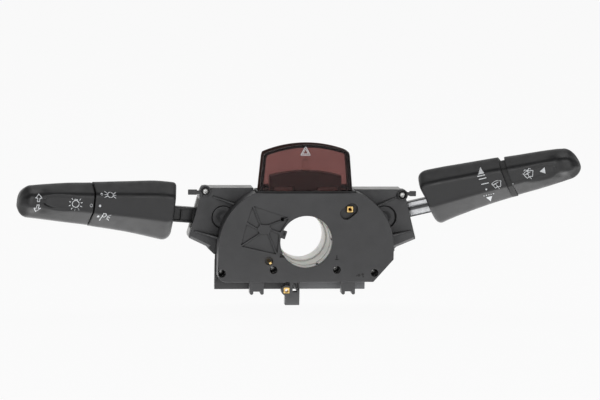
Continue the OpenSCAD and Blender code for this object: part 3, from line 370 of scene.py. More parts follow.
def make_finishes(sizes, colours):
    grain = sizes.grain_size
    # Each plastic: colour, grain, bump depth, roughness, lighter edges that are partly rubbed and partly
    # painted highlight, and for some the blotches
    plastics = {
        "cover": (colours.cover, grain, 0.05, 0.50, 0.06),
        "stalk": (colours.stalk, grain, 0.06, 0.40, 0.03),
        "carrier": (colours.carrier, grain, 0.04, 0.42, 0.18),
        "pawl": (colours.cover, grain, 0.04, 0.45, 0.30),
        "satin": ((0.085, 0.087, 0.091), grain * 1.3, 0.05, 0.38, 0.35),
        "core": ((0.55, 0.54, 0.55), grain, 0.04, 0.45, 0.25),
        "guide": ((0.012, 0.012, 0.012), grain, 0.04, 0.55, 0.0),
        "natural": (colours.natural, grain, 0.02, 0.35, 0.0, 0.03),
        # The cases: the natural plastic of the sleeve made darker, a shaded copy that paints the shade
        # on their tops
        "case": ((0.36, 0.357, 0.345), grain, 0.02, 0.38, 0.05, 0.05),
        # Near black of the cover's small marks: painted shade
        "hole": ((0.008, 0.008, 0.008), grain, 0.03, 0.6, 0.0),
    }
    for name, recipe in plastics.items():
        FINISHES[name] = moulded_plastic(name + "_plastic", *recipe)
    laminate = ((0.03, 0.11, 0.05), 0.8 * MM, 0.02, 0.35, 0.3, 0.2)
    FINISHES["board"] = moulded_plastic("board_laminate", *laminate)
    natural = FINISHES["natural"].node_tree
    milky = {"Subsurface Weight": 0.15, "Subsurface Scale": 2 * MM}
    feed(natural, natural.nodes["Principled BSDF"], milky)
    FINISHES["steel"] = metal("zinc_steel", (0.62, 0.62, 0.61), 0.32)
    FINISHES["aluminium"] = arm_with_painted_groove_shade("drawn_aluminium", RISE[1])
    FINISHES["brass"] = metal("turned_brass", (0.78, 0.55, 0.22), 0.28)
    FINISHES["tin"] = metal("tinned_terminal", (0.60, 0.60, 0.56), 0.35)
    # The lens's last colour is the painted shade of its side walls
    FINISHES["lens"] = red_lens("red_lens", (0.97, 0.93, 0.92), colours.lens, (0.06, 0.035, 0.032))
    FINISHES["glass"] = clear_plastic("bulb_glass", (0.93, 0.93, 0.9), 0.02, 0.02)
    FINISHES["print"] = white_print("white_print", colours.printed)


# The CAD nodes of each finish
FINISH_NODES = {
    "cover": "front_cover left_case_lid right_case_lid",
    "carrier": "main_frame horn_bush hazard_base left_arm left_detent right_detent"
    " left_connector right_connector",
    "natural": "column_sleeve left_yoke right_yoke left_plunger right_plunger",
    "case": "left_case right_case",
    "stalk": "left_sleeve left_knob right_sleeve right_cap",
    "steel": "clamp_band clamp_screw clamp_nut cover_screws case_screws frame_screws horn_spring"
    " cancel_pawl_pin cancel_spring hazard_springs right_cap_spring left_pivot_pin right_pivot_pin"
    " left_yoke_pin right_yoke_pin",
    "aluminium": "right_arm",
    "brass": "square_nuts horn_pin",
    "tin": "connector_terminals left_terminals right_terminals",
    "board": "left_contact_board right_contact_board",
    "pawl": "cancel_pawl",
    "core": "hazard_core",
    "lens": "hazard_lens",
    "glass": "hazard_bulb",
    "satin": "connector_housing",
    "guide": "right_cap_guide",
}
NODE_FINISH = {node: finish for finish, nodes in FINISH_NODES.items() for node in nodes.split()}


# Mesh tools

# How close two corners are welded, in metres, and how sharp an edge is rounded
WELD = 2e-6
SHARP = math.radians(35)


def add_object(name, mesh, finish, body, replaced=(), smooth_angle=35):
    """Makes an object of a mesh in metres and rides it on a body."""
    piece = bpy.data.objects.new(name, mesh)
    bpy.context.collection.objects.link(piece)
    mesh.materials.clear()
    mesh.materials.append(FINISHES[finish])
    for face in mesh.polygons:
        face.use_smooth = True
    mesh.set_sharp_from_angle(angle=math.radians(smooth_angle))
    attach(piece, body)
    if replaced:
        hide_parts(*replaced)
    return piece


def replace_node(node, name, mesh, smooth_angle):
    """Shows a mesh in place of a CAD node, with the node's finish and body."""
    return add_object(name, mesh, NODE_FINISH[node], BODIES[node], (node,), smooth_angle)


def mesh_from(name, bm, scale=MM):
    bmesh.ops.recalc_face_normals(bm, faces=bm.faces)
    bmesh.ops.scale(bm, vec=(scale,) * 3, verts=bm.verts)
    mesh = bpy.data.meshes.new(name)
    bm.to_mesh(mesh)
    bm.free()
    return mesh


def stalk_matrix(side):
    """From a stalk's own frame (along, to the rear, up) to the row frame, in millimetres."""
    rise = Matrix.Rotation(-RISE[side], 4, "Y")
    lean = Matrix.Rotation(-LEAN, 4, "Z")
    place = Matrix.Translation(PIVOT) @ rise @ Matrix.Translation((YOKE_PIN, 0, 0)) @ lean
    if side < 0:
        place = Matrix.Diagonal((-1, 1, 1, 1)) @ place
    return place


def bridge_rings(bm, rings, close_ends=True):
    rows = [[bm.verts.new(p) for p in ring] for ring in rings]
    for a, b in zip(rows, rows[1:]):
        for i in range(len(a)):
            j = (i + 1) % len(a)
            bm.faces.new((a[i], a[j], b[j], b[i]))
    if close_ends:
        bm.faces.new(rows[0])
        bm.faces.new(rows[-1])
    return rows


def circle(place, radius, y, steps):
    """Points of a circle about the local Y axis of place."""
    turns = (2 * math.pi * k / steps for k in range(steps))
    return [place @ Vector((radius * math.cos(a), y, radius * math.sin(a))) for a in turns]


def welded(node):
    """The mesh of a CAD node with its split corners joined."""
    bm = bmesh.new()
    bm.from_mesh(frame["nodes"][node].data)
    bmesh.ops.remove_doubles(bm, verts=bm.verts, dist=WELD)
    return bm


def clean_copy(node):
    """The mesh of a CAD node with its flat faces joined and then cut in triangles."""
    bm = welded(node)
    bmesh.ops.dissolve_limit(bm, angle_limit=math.radians(0.5), verts=bm.verts, edges=bm.edges)
    bmesh.ops.triangulate(bm, faces=bm.faces)
    return bm


def softened_copy(node, width, shortest):
    """Copy of a CAD node with its sharp edges rounded, shown in its place."""
    bm = clean_copy(node)
    edges = [
        e for e in bm.edges
        if len(e.link_faces) == 2 and e.calc_face_angle(0) > SHARP and e.calc_length() > shortest * MM
    ]
    bmesh.ops.bevel(
        bm, geom=edges, offset=width * MM, segments=2, profile=0.5, affect="EDGES",
        clamp_overlap=False, offset_type="OFFSET", loop_slide=False, face_strength_mode="ALL",
    )
    name = node + "_rounded"
    piece = replace_node(node, name, mesh_from(name, bm, 1.0), smooth_angle=50)
    even = piece.modifiers.new("even_shading", "WEIGHTED_NORMAL")
    even.keep_sharp = True
    even.use_face_influence = True


# Handles

# Points on each corner of a section, and on the flat after it
ARC_POINTS = 7
FLAT_POINTS = (4, 6, 26, 8, 4, 6)


def tangent_normal(a, b):
    """Angle of the outward normal on the common tangent of two circles (w, v, r), going round."""
    along = Vector((b[0] - a[0], b[1] - a[1]))
    turn = math.acos(max(-1, min(1, (a[2] - b[2]) / along.length)))
    return math.atan2(along.y, along.x) - turn


def polar(radius, angle):
    return Vector((radius * math.cos(angle), radius * math.sin(angle)))


def hull_ring(circles):
    """Outline round circles (w, v, r) that stand in a ring, counter-clockwise."""
    following = circles[1:] + circles[:1]
    normals = [tangent_normal(here, there) for here, there in zip(circles, following)]
    ring = []
    for i, (w, v, r) in enumerate(circles):
        start, end = normals[i - 1], normals[i]
        while end < start:
            end += 2 * math.pi
        for k in range(ARC_POINTS + 1):
            ring.append(Vector((w, v)) + polar(r, start + (end - start) * k / ARC_POINTS))
        tip = Vector(following[i][:2]) + polar(following[i][2], end)
        tail = ring[-1].copy()
        for k in range(1, FLAT_POINTS[i]):
            ring.append(tail.lerp(tip, k / FLAT_POINTS[i]))
    return ring


def handle_circles(top, low, front, back):
    """Corner circles of a handle's section, counter-clockwise from the upper back."""
    f = min(5.0, 0.45 * low)
    return [
        (back - 6, 0.55 * top - 3, 6),
        (-0.10 * front, top - 5, 5),
        (-front + f, 0.72 * top - f, f),
        (-front + f, -0.42 * low + f, f),
        (-0.02 * front, -low + 5, 5),
        (back - 6, -0.55 * low + 3, 6),
    ]


def smooth_step(x, low, high):
    t = max(0.0, min(1.0, (x - low) / (high - low)))
    return t * t * (3 - 2 * t)


def lerp(a, b, t):
    return a + (b - a) * t


def through(points, x):
    """Values at x on a smooth curve through (x, values...) points."""
    i = 0
    while i < len(points) - 2 and x > points[i + 1][0]:
        i += 1
    a, b = points[i], points[i + 1]
    before, after = points[max(i - 1, 0)], points[min(i + 2, len(points) - 1)]
    h = b[0] - a[0]
    t = max(-0.2, min(1.2, (x - a[0]) / h))
    values = []
    for k in range(1, len(a)):
        leave = (b[k] - before[k]) / (b[0] - before[0])
        arrive = (after[k] - a[k]) / (after[0] - a[0])
        values.append(
            (2 * t ** 3 - 3 * t ** 2 + 1) * a[k] + (t ** 3 - 2 * t ** 2 + t) * h * leave
            + (3 * t ** 2 - 2 * t ** 3) * b[k] + (t ** 3 - t ** 2) * h * arrive
        )
    return values


def handle_ring(u, top, low, front, back, tilt, centre):
    """One section as points in the stalk's own frame, tilted about its front to back axis."""
    return [
        Vector((u - v * math.sin(tilt), w, centre + v * math.cos(tilt)))
        for w, v in hull_ring(handle_circles(top, low, front, back))
    ]


def dish_at(side, u, v):
    """Share of its depth that the oval thumb dish has; it is deepest and sharpest at its outer end."""
    from_u, to_u, centre, half_in, half_out = DISH[side]
    s = (2 * u - from_u - to_u) / (to_u - from_u)
    if abs(s) >= 1:
        return 0.0
    along = (s + 1) / 2
    half = lerp(half_in, half_out, along) * math.sqrt(max(0.0, 1 - abs(s) ** 2.6))
    if half < 0.3 or abs(v - centre) >= half:
        return 0.0
    rim = smooth_step(1 - abs(v - centre) / half, 0, 0.45)
    rim *= smooth_step(1 - abs(s), 0, lerp(0.5, 0.16, along))
    return rim * lerp(0.35, 1.0, smooth_step(along, 0.1, 0.75))


def lip_at(side, u):
    """The face dips a little and then turns up towards the driver at the tip."""
    start, end = LIP[side]
    return LIP_HOLLOW * math.exp(-((u - start) / 5.0) ** 2) - LIP_RISE * smooth_step(u, start, end)


def shape_front(rings, side, depth):
    """Presses the thumb dish and the lip before the tip into the front of the rings."""
    for ring in rings:
        for p in ring:
            front = through(OUTLINE[side], p.x)[2]
            near = smooth_step(-p.y, front * 0.55, front * 0.92)
            p.y += near * (depth * dish_at(side, p.x, p.z) + lip_at(side, p.x))


def tip_rings(last, length, nose, fall, count=16):
    """Closes a handle with a rounded nose; nose is where in the section it ends."""
    rings = []
    for k in range(1, count + 1):
        a = k / count * math.pi / 2
        grow = math.cos(a) ** fall if k < count else 0.02
        step = length * math.sin(a)
        rings.append([
            Vector((p.x + step, nose[0] + (p.y - nose[0]) * grow, nose[1] + (p.z - nose[1]) * grow))
            for p in last
        ])
    return rings


def handle_end(rings, recess, rim, first):
    """Adds a rim and a recessed floor to the open end of a handle."""
    edge = rings[0] if first else rings[-1]
    mid = sum(edge, Vector()) / len(edge)
    inner = [p + (mid - p).normalized() * rim for p in edge]
    deep = [p + Vector((recess if first else -recess, 0, 0)) for p in inner]
    if first:
        return [deep, inner] + rings
    return rings + [inner, deep]


def build_handle(node, side, rings):
    bm = bmesh.new()
    place = stalk_matrix(side)
    bridge_rings(bm, [[place @ p for p in ring] for ring in rings])
    name = node + "_moulding"
    replace_node(node, name, mesh_from(name, bm), smooth_angle=55)


# Measures of the left (-1) and right (1) handle in millimetres, along the stalk from the yoke's pin.
# Sections: distance, then up, down, to the driver and to the rear of the centre
OUTLINE = {
    -1: (
        (26, 21.9, 23.0, 14.5, 14.5), (45, 22.2, 20.1, 14.2, 14.2), (64, 20.5, 17.5, 13.8, 13.8),
        (94, 17.6, 15.0, 13.0, 13.0), (113, 15.7, 13.7, 12.3, 12.2), (134, 12.9, 12.5, 11.5, 11.2),
        (142, 11.6, 12.2, 11.2, 11.0),
    ),
    1: (
        (22, 20.4, 23.2, 14.5, 14.5), (44, 19.8, 19.3, 14.2, 14.2), (68, 18.6, 16.1, 13.7, 13.7),
        (88, 17.4, 14.5, 13.1, 13.1), (104, 15.9, 13.3, 12.5, 12.3), (128, 13.8, 11.3, 11.6, 11.4),
        (135, 12.5, 10.5, 11.3, 11.2),
    ),
}
# Height of the sections' centre
CENTRE = {-1: 0.0, 1: 6.0}
# The sleeve's root: where it is, how far its edge's line is felt, how round its front and back
# edges are, and its upper and lower corner
ROOT_AT = {-1: 28.3, 1: 27.2}
ROOT_BLEND, ROOT_ROUND = 18.0, 1.6
ROOT_CORNER = {-1: (3.0, 8.0), 1: (6.5, 3.5)}
# How the left root's edge runs in towards the rear, and where the right one stands at each height
ROOT_SLANT = -0.30
ROOT_EDGE = ((-22, 2.4), (-16, 0.7), (-9.5, 0.0), (0.8, -1.0), (12.2, -4.0), (20, -4.4))
# The split between sleeve and knob or cap, and its tilt
SLEEVE_END = {-1: 94.2, 1: 87.0}
KNOB_START = {-1: 95.2, 1: 91.2}
SPLIT_TILT = {-1: 0.0, 1: math.radians(7)}
# The rounded nose: start, length, the point that it closes on, and how bluntly
NOSE_FROM = {-1: 140.5, 1: 132.5}
NOSE_LEN = {-1: 8.4, 1: 10.5}
NOSE = {-1: (1.0, -3.0), 1: (1.0, 3.0)}
NOSE_FALL = {-1: 0.85, 1: 1.1}
# Thumb dishes: from, to, height of the middle, half heights at the inner and outer end
DISH = {-1: (105.5, 133.6, 2.1, 7.2, 5.8), 1: (99.0, 126.0, 6.8, 6.8, 6.8)}
# Lip at the tip: where it starts and ends, how far it rises and how deep it dips before that
LIP = {-1: (133, 141), 1: (126, 133)}
LIP_RISE, LIP_HOLLOW = 1.2, 0.7
# Walls of the open ends, and how deep the knob and the cap are open
SLEEVE_RIM, KNOB_RIM = 2.2, 1.4
KNOB_RECESS = {-1: 1.0, 1: 6.0}
# How far the knob stands in from the sleeve, and the depth and length of the rounding at the split
KNOB_STEP, SPLIT_EDGE, SPLIT_ROUND = 0.35, 0.35, 0.5


def quarter(length, s):
    """Height missing under a quarter round of the given size, s from its start."""
    return length * (1 - math.sqrt(max(0.0, 1 - (1 - min(s / length, 1)) ** 2)))


def root_shift(side, w, v):
    """How far a point of the root's edge is moved along the stalk."""
    if side < 0:
        return ROOT_SLANT * w
    return through(ROOT_EDGE, max(ROOT_EDGE[0][0], min(ROOT_EDGE[-1][0], v)))[0]


def section(side, u, cut_top, cut_low, edge, tilt):
    """Ring of a handle at u, smaller by its cuts and edge, with a share of the split's tilt."""
    top, low, front, back = through(OUTLINE[side], u)
    return handle_ring(
        u, top - cut_top, low - cut_low, front - edge, back - edge, SPLIT_TILT[side] * tilt, CENTRE[side]
    )


def sleeve_rings(side):
    """Sections of a sleeve, its root edge cut to the line seen from the front."""
    start = ROOT_AT[side]
    length = SLEEVE_END[side] - start
    stations = [0, 0.25, 0.7, 1.4, 2.4, 3.6, 5.2, 7.2, 10]
    stations += [10 + (length - 11) * k / 30 for k in range(1, 31)]
    stations += [length - SPLIT_ROUND, length - 0.15, length]
    rings = []
    for s in stations:
        cut_top, cut_low, edge = [quarter(size, s) for size in (*ROOT_CORNER[side], ROOT_ROUND)]
        if s > length - SPLIT_ROUND:
            cut_top = cut_low = edge = SPLIT_EDGE * ((s - length) / SPLIT_ROUND + 1) ** 2
        ring = section(side, start + s, cut_top, cut_low, edge, smooth_step(s, 0, length * 0.6))
        felt = 1 - smooth_step(s, 0, ROOT_BLEND)
        for p in ring:
            p.x += root_shift(side, p.y, p.z - CENTRE[side]) * felt
        rings.append(ring)
    return rings


def knob_rings(side):
    """Sections of a knob or cap from the split to its nose."""
    start = KNOB_START[side]
    straight = NOSE_FROM[side] - start
    stations = [0, 0.15, SPLIT_ROUND, 1.0] + [1.0 + (straight - 1.0) * k / 44 for k in range(1, 45)]
    rings = []
    for s in stations:
        edge = SPLIT_EDGE * (1 - min(s / SPLIT_ROUND, 1)) ** 2
        edge += KNOB_STEP * (1 - smooth_step(s, 0, straight * 0.5))
        tilt = 1 - smooth_step(s, straight * 0.2, straight)
        rings.append(section(side, start + s, edge, edge, edge, tilt))
    return rings + tip_rings(rings[-1], NOSE_LEN[side], NOSE[side], NOSE_FALL[side])


class MakeHandles(bpy.types.Operator):
    """Build the four smooth mouldings of the two stalks"""
    bl_idname = "stalk_switch.handles"
    bl_label = "Handles"

    def execute(self, context):
        depth = context.scene.switch_sizes.dish_depth / MM
        for side, sleeve, knob in ((-1, "left_sleeve", "left_knob"), (1, "right_sleeve", "right_cap")):
            rings = handle_end(sleeve_rings(side), 3.0, SLEEVE_RIM, True)
            build_handle(sleeve, side, handle_end(rings, 1.0, KNOB_RIM, False))
            rings = knob_rings(side)
            shape_front(rings, side, depth)
            build_handle(knob, side, handle_end(rings, KNOB_RECESS[side], KNOB_RIM, True))
        return {"FINISHED"}


# Symbols

# Where the prints are in the photo, in pixels across and down
PRINT_AT = {
    "knob_arrows": (38.3, 203.3), "lamp": (75.7, 203.9), "knob_ring": (91.4, 205.5),
    "side_lamp": (110.5, 195.0), "parking_lamp": (105.0, 217.3),
    "washer": (529.0, 174.8), "wash_arrow": (542.7, 171.0), "cap_dot": (512.9, 184.0),
    "arrow_up": (480.6, 171.2), "arrow_down": (490.0, 198.7), "wiper": (497.2, 184.8),
    "bar_1": (481.2, 175.6), "bar_2": (482.6, 178.6), "bar_3": (485.0, 183.6),
    "sleeve_dot": (486.3, 189.4), "dashes": (488.5, 194.8),
    "hazard": (305.6, 152.2), "cover_arrow": (336.8, 259.5),
}
# Round marks: pixels across and down, and radius in millimetres
SLEEVE_DOTS = ((101.8, 194.3, 0.9), (100.1, 205.9, 0.95), (98.2, 216.4, 0.9))
COVER_DOTS = ((359.0, 275.2, 1.1), (362.6, 274.4, 0.9), (363.2, 276.6, 0.6), (356.8, 275.8, 0.5))
ARROW = ((-0.9, 0), (-0.9, 2.6), (-2.6, 2.6), (0, 5.4), (2.6, 2.6), (0.9, 2.6), (0.9, 0))
WIPER_TURN = 6


def view_axes():
    a, e, roll = VIEW_AZIMUTH, VIEW_ELEVATION, VIEW_ROLL
    right = Vector((math.cos(a), math.sin(a), 0))
    up = Vector((-math.sin(a) * math.sin(e), math.cos(a) * math.sin(e), math.cos(e)))
    back = Vector((math.sin(a) * math.cos(e), -math.cos(a) * math.cos(e), math.sin(e)))
    return (
        right * math.cos(roll) + up * math.sin(roll),
        up * math.cos(roll) - right * math.sin(roll),
        back,
    )


def camera_place():
    right, up, back = view_axes()
    aim = HOLE_CENTRE - right * (HOLE_PIXEL[0] - PHOTO_WIDTH / 2) * MM_PER_PIXEL
    aim += up * (HOLE_PIXEL[1] - PHOTO_HEIGHT / 2) * MM_PER_PIXEL
    distance = MM_PER_PIXEL * PHOTO_WIDTH * LENS_MM / SENSOR_MM
    return aim + back * distance


def pixel_ray(x, y):
    """Start and direction, in millimetres, of what the camera sees at a pixel."""
    right, up, back = view_axes()
    scale = SENSOR_MM / PHOTO_WIDTH / LENS_MM
    ahead = (x - PHOTO_WIDTH / 2) * scale * right + (PHOTO_HEIGHT / 2 - y) * scale * up - back
    return camera_place(), ahead.normalized()


def surface_of(piece):
    """Tree for finding a piece's surface, in metres in the row frame."""
    bm = bmesh.new()
    bm.from_mesh(piece.data)
    bm.transform(piece.matrix_world)
    tree = BVHTree.FromBMesh(bm)
    bm.free()
    return tree


def turned(points, degrees):
    a = math.radians(degrees)
    return [(x * math.cos(a) - y * math.sin(a), x * math.sin(a) + y * math.cos(a)) for x, y in points]


class Printer:
    """Lays printed strokes on a front, along and up from a point found by its pixel."""

    def __init__(self, piece, place, across, sizes):
        self.tree = surface_of(piece)
        self.place = place
        self.back = place.inverted()
        self.across = across
        self.lift = sizes.print_lift / MM
        self.width = sizes.stroke / MM
        self.bm = bmesh.new()

    def at(self, x, y):
        start, ahead = pixel_ray(x, y)
        hit = self.tree.ray_cast(start * MM, ahead)[0]
        if hit is None:
            raise RuntimeError("nothing to print on under pixel %s, %s" % (x, y))
        local = self.back @ (hit / MM)
        return Vector((local.x, local.z))

    def mark(self, name):
        return self.at(*PRINT_AT[name])

    def lay(self, point):
        """Point (along, up) on the front, lifted a little."""
        start = self.place @ Vector((point.x, -60, point.y))
        ahead = (self.place.to_3x3() @ Vector((0, 1, 0))).normalized()
        hit, normal = self.tree.ray_cast(start * MM, ahead)[:2]
        if hit is None:
            raise RuntimeError("a printed line runs off its piece")
        if normal.dot(ahead) > 0:
            normal = -normal
        return hit / MM + normal * self.lift

    def fill(self, points):
        self.bm.faces.new([self.bm.verts.new(self.lay(p)) for p in points])

    def points(self, origin, pairs):
        """Places right and up of origin as the driver sees them, in millimetres."""
        return [origin + Vector((x * self.across, y)) for x, y in pairs]

    def line(self, origin, pairs, part=1.0, closed=False, step=0.8):
        """Stroke through pairs right and up of origin; its width is a part of the usual one."""
        width = self.width * part
        path = self.points(origin, pairs)
        if closed:
            path.append(path[0])
        for a, b in zip(path, path[1:]):
            run = b - a
            if run.length < 1e-6:
                continue
            ahead = run.normalized()
            side = Vector((-ahead.y, ahead.x)) * width / 2
            a, b = a - ahead * width * 0.35, b + ahead * width * 0.35
            pieces = max(1, int((b - a).length / step))
            for k in range(pieces):
                p, q = a.lerp(b, k / pieces), a.lerp(b, (k + 1) / pieces)
                self.fill([p - side, q - side, q + side, p + side])

    def ring(self, origin, radius, part=1.0, from_deg=0, to_deg=360):
        steps = max(6, int(abs(to_deg - from_deg) / 18))
        arc = [math.radians(lerp(from_deg, to_deg, k / steps)) for k in range(steps + 1)]
        self.line(origin, [polar(radius, a) for a in arc], part)

    def rays(self, origin, start, end):
        """Three strokes that spread from start to end, each (right, up to the next stroke)."""
        for k in (-1, 0, 1):
            self.line(origin, [(x, k * y) for x, y in (start, end)], 0.8)

    def disc(self, origin, radius, steps=12):
        self.fill([origin + polar(radius, 2 * math.pi * k / steps) for k in range(steps)])

    def discs(self, table):
        for x, y, radius in table:
            self.disc(self.at(x, y), radius)

    def patch(self, origin, pairs, cuts=6):
        """Triangle in small tiles, so that it follows a curved front."""
        a, b, c = self.points(origin, pairs)

        def tile(i, j):
            return a + (b - a) * (i / cuts) + (c - a) * (j / cuts)

        for i in range(cuts):
            for j in range(cuts - i):
                self.fill([tile(i, j), tile(i + 1, j), tile(i, j + 1)])
                if i + j < cuts - 1:
                    self.fill([tile(i + 1, j), tile(i + 1, j + 1), tile(i, j + 1)])


def print_wiper(pen, origin, size, washer):
    """Windscreen outline with a wiper, and for the washer its jets."""
    top = [(-4.0 + k, 2.2 + 1.2 * math.sin(math.pi * k / 8)) for k in range(9)]
    foot = [(2.2 - 4.4 * k / 6, -2.2 + 0.6 * math.sin(math.pi * k / 6)) for k in range(1, 7)]
    strokes = [top + [(2.2, -2.2)] + foot + [(-4.0, 2.2)]]
    strokes += [[(0.6, -3.6), (-1.2, 1.6)], [(-3.0, 0.9), (1.4, 1.9)]]
    if washer:
        for s in (-1, 1):
            strokes.append([(0, 0.4), (s * 0.3, 3.9), (s * 1.6, 4.9), (s * 2.6, 4.3)])
    for stroke in strokes:
        pen.line(origin, turned([(x * size, y * size) for x, y in stroke], WIPER_TURN), 0.8)


def print_light_knob(pen):
    """Two arrows for the turn, the sign of the lamps and the ring for off."""
    for s in (1, -1):
        pen.line(pen.mark("knob_arrows"), [(x, s * (y + 1.2)) for x, y in ARROW], closed=True)
    lamp = pen.mark("lamp")
    pen.ring(lamp, 2.5)
    pen.line(lamp, [(-0.9, 2.4), (-0.9, 3.4), (0.9, 3.4), (0.9, 2.4)], 0.8)
    for k in range(9):
        a = math.radians(130 + 280 * k / 8)
        pen.line(lamp, [polar(4.0, a), polar(5.0, a)])
    pen.ring(pen.mark("knob_ring"), 1.0, 0.7)


def print_left_sleeve(pen):
    """Dots for the knob's positions, the side lamps and the parking lamp."""
    pen.discs(SLEEVE_DOTS)
    side = pen.mark("side_lamp")
    for s in (-1, 1):
        pen.ring(side + Vector((-s * 0.4, 0)), 1.7, 0.8, -90 * s, 180 - 90 * s)
        pen.rays(side, (s * 2.4, 0.9), (s * 4.2, 2.0))
    park = pen.mark("parking_lamp")
    letter = [(-2.6, -3.2), (-2.6, 2.8), (-0.6, 2.8), (0.2, 1.4), (-0.8, 0.0), (-2.4, 0.0)]
    pen.line(park, turned(letter, -8))
    pen.rays(park, (1.6, 0.8), (3.6, 2.2))
    pen.ring(park + Vector((-0.6, 0)), 1.5, 0.7, -60, 60)


def print_right_cap(pen):
    """The washer's sign with its arrow and dot."""
    print_wiper(pen, pen.mark("washer"), 0.95, True)
    pen.patch(pen.mark("wash_arrow"), [(-2.3, 0.2), (2.0, 2.4), (1.6, -2.3)])
    pen.disc(pen.mark("cap_dot"), 0.45)


def print_right_sleeve(pen):
    """Arrows and marks for the wiper's steps, and its sign."""
    pen.patch(pen.mark("arrow_up"), [(0.2, 2.6), (2.4, -1.9), (-2.2, -1.9)])
    pen.patch(pen.mark("arrow_down"), [(-0.2, -2.4), (-2.4, 1.9), (2.2, 1.9)])
    for bar in ("bar_1", "bar_2", "bar_3"):
        pen.line(pen.mark(bar), [(-2.6, 0), (2.6, 0)], 1.3)
    pen.disc(pen.mark("sleeve_dot"), 0.7)
    for k in range(5):
        pen.line(pen.mark("dashes"), [(-3.6 + k * 1.8, 0), (-3.2 + k * 1.8, 0)])
    print_wiper(pen, pen.mark("wiper"), 0.9, False)


def print_hazard(pen):
    """One triangle inside another."""
    for half, part in ((3.55, 1.0), (2.1, 0.8)):
        low, high = -half * 0.62, half * 1.18
        pen.line(pen.mark("hazard"), [(-half, low), (half, low), (0, high)], part, closed=True)


def mark_cover(pen):
    """The small marks beside the column hole, laid near black as painted shade, with strokes of their
    own widths.
    """
    arrow = pen.mark("cover_arrow")
    pen.line(arrow, [(0, 0), (0, 3.0)], 0.8 / pen.width)
    pen.line(arrow, [(-1.2, 0), (1.2, 0)], 0.7 / pen.width)
    pen.discs(COVER_DOTS)


class MakeSymbols(bpy.types.Operator):
    """Print the pictograms on handles and hazard button, and lay the cover's small marks in painted
    shade
    """
    bl_idname = "stalk_switch.symbols"
    bl_label = "Printed symbols"

    def execute(self, context):
        left, right, level = stalk_matrix(-1), stalk_matrix(1), Matrix.Identity(4)
        for name, node, ending, place, across, draw, finish in (
            ("light_knob_print", "left_knob", "_moulding", left, -1, print_light_knob, "print"),
            ("left_sleeve_print", "left_sleeve", "_moulding", left, -1, print_left_sleeve, "print"),
            ("right_cap_print", "right_cap", "_moulding", right, 1, print_right_cap, "print"),
            ("right_sleeve_print", "right_sleeve", "_moulding", right, 1, print_right_sleeve, "print"),
            ("hazard_print", "hazard_lens", "_rounded", level, 1, print_hazard, "print"),
            # The cover's marks are near black sheets of painted shade
            ("cover_marks", "front_cover", "_rounded", level, 1, mark_cover, "hole"),
        ):
            piece = bpy.data.objects[node + ending]
            printer = Printer(piece, place, across, context.scene.switch_sizes)
            draw(printer)
            add_object(name, mesh_from(name, printer.bm), finish, BODIES[node])
        return {"FINISHED"}


# Small metal


def islands(node):
    """Corners (low, high), in millimetres, of each separate solid of a CAD node."""
    bm = welded(node)
    left = set(bm.verts)
    found = []
    while left:
        group, fresh = set(), [left.pop()]
        while fresh:
            v = fresh.pop()
            group.add(v)
            for e in v.link_edges:
                other = e.other_vert(v)
                if other in left:
                    left.remove(other)
                    fresh.append(other)
        points = [v.co / MM for v in group]
        found.append([Vector([pick(p[i] for p in points) for i in range(3)]) for pick in (min, max)])
    bm.free()
    return found


# Half width and length of a cross recess's arms and radius of the shank, by the head's radius
RECESS_WIDTH, RECESS_LENGTH, SHANK = 0.17, 0.62, 0.52
# Millimetres: small facet in the middle of a head, heights of the heads, thread and nut
HEAD_MIDDLE = 0.01
HEAD_HEIGHT = {"cover_screws": 1.8, "case_screws": 1.6, "frame_screws": 1.8}
THREAD_PITCH = 0.8
NUT_HOLE, NUT_PITCH, NUT_CHAMFER = 1.25, 0.5, 0.22


def recess(p, q):
    """1 inside an arm of the recess that runs along q, 0 outside, with soft walls."""
    across = smooth_step(RECESS_WIDTH - abs(p), -0.04, 0.05)
    return min(across, smooth_step(RECESS_LENGTH - abs(q), -0.05, 0.08))


def cross_head(bm, place, radius, height, steps=64, rows=14):
    """Domed head with a cross recess; its seat is at y 0 of place and its top at -height."""
    rings = []
    for k in range(rows + 1):
        ring = circle(Matrix(), max(radius * k / rows, HEAD_MIDDLE), 0, steps)
        dome = -height * (1 - 0.45 * (k / rows) ** 2.5)
        for p in ring:
            x, z = p.x / radius, p.z / radius
            p.y = dome + max(recess(x, z), recess(z, x)) * height * 0.75
        rings.append([place @ p for p in ring])
    rings.append(circle(place, radius, -height * 0.42, steps))
    rings.append(circle(place, radius * 0.97, 0.0, steps))
    bridge_rings(bm, rings)


def threaded_shank(bm, place, radius, length):
    """Screw shank with ridges, from y 0 of place back to length."""
    profile = [(radius * 0.86, 0.0)]
    y = 0.6
    while y < length - 1.2:
        for part, ahead in ((0.84, 0), (1.0, 0.45), (0.84, 0.9)):
            profile.append((radius * part, y + THREAD_PITCH * ahead))
        y += THREAD_PITCH
    profile += [(radius * 0.8, length - 0.8), (radius * 0.45, length)]
    bridge_rings(bm, [circle(place, r, y, 20) for r, y in profile])


class MakeScrews(bpy.types.Operator):
    """Turn the screws with domed heads, cross recesses and threads"""
    bl_idname = "stalk_switch.screws"
    bl_label = "Screws"

    def execute(self, context):
        for node, height in HEAD_HEIGHT.items():
            bm = bmesh.new()
            for low, high in islands(node):
                radius = (high.x - low.x) / 2
                rear_head = node == "frame_screws"
                seat = high.y - height if rear_head else low.y + height
                place = Matrix.Translation(((low.x + high.x) / 2, seat, (low.z + high.z) / 2))
                own_turn = 0.5 + low.x * 0.13
                place @= Matrix.Rotation(own_turn, 4, "Y")
                if rear_head:
                    place @= Matrix.Rotation(math.pi, 4, "Z")
                cross_head(bm, place, radius, height)
                threaded_shank(bm, place, radius * SHANK, high.y - low.y - height)
            replace_node(node, node + "_turned", mesh_from(node, bm), 40)
        return {"FINISHED"}


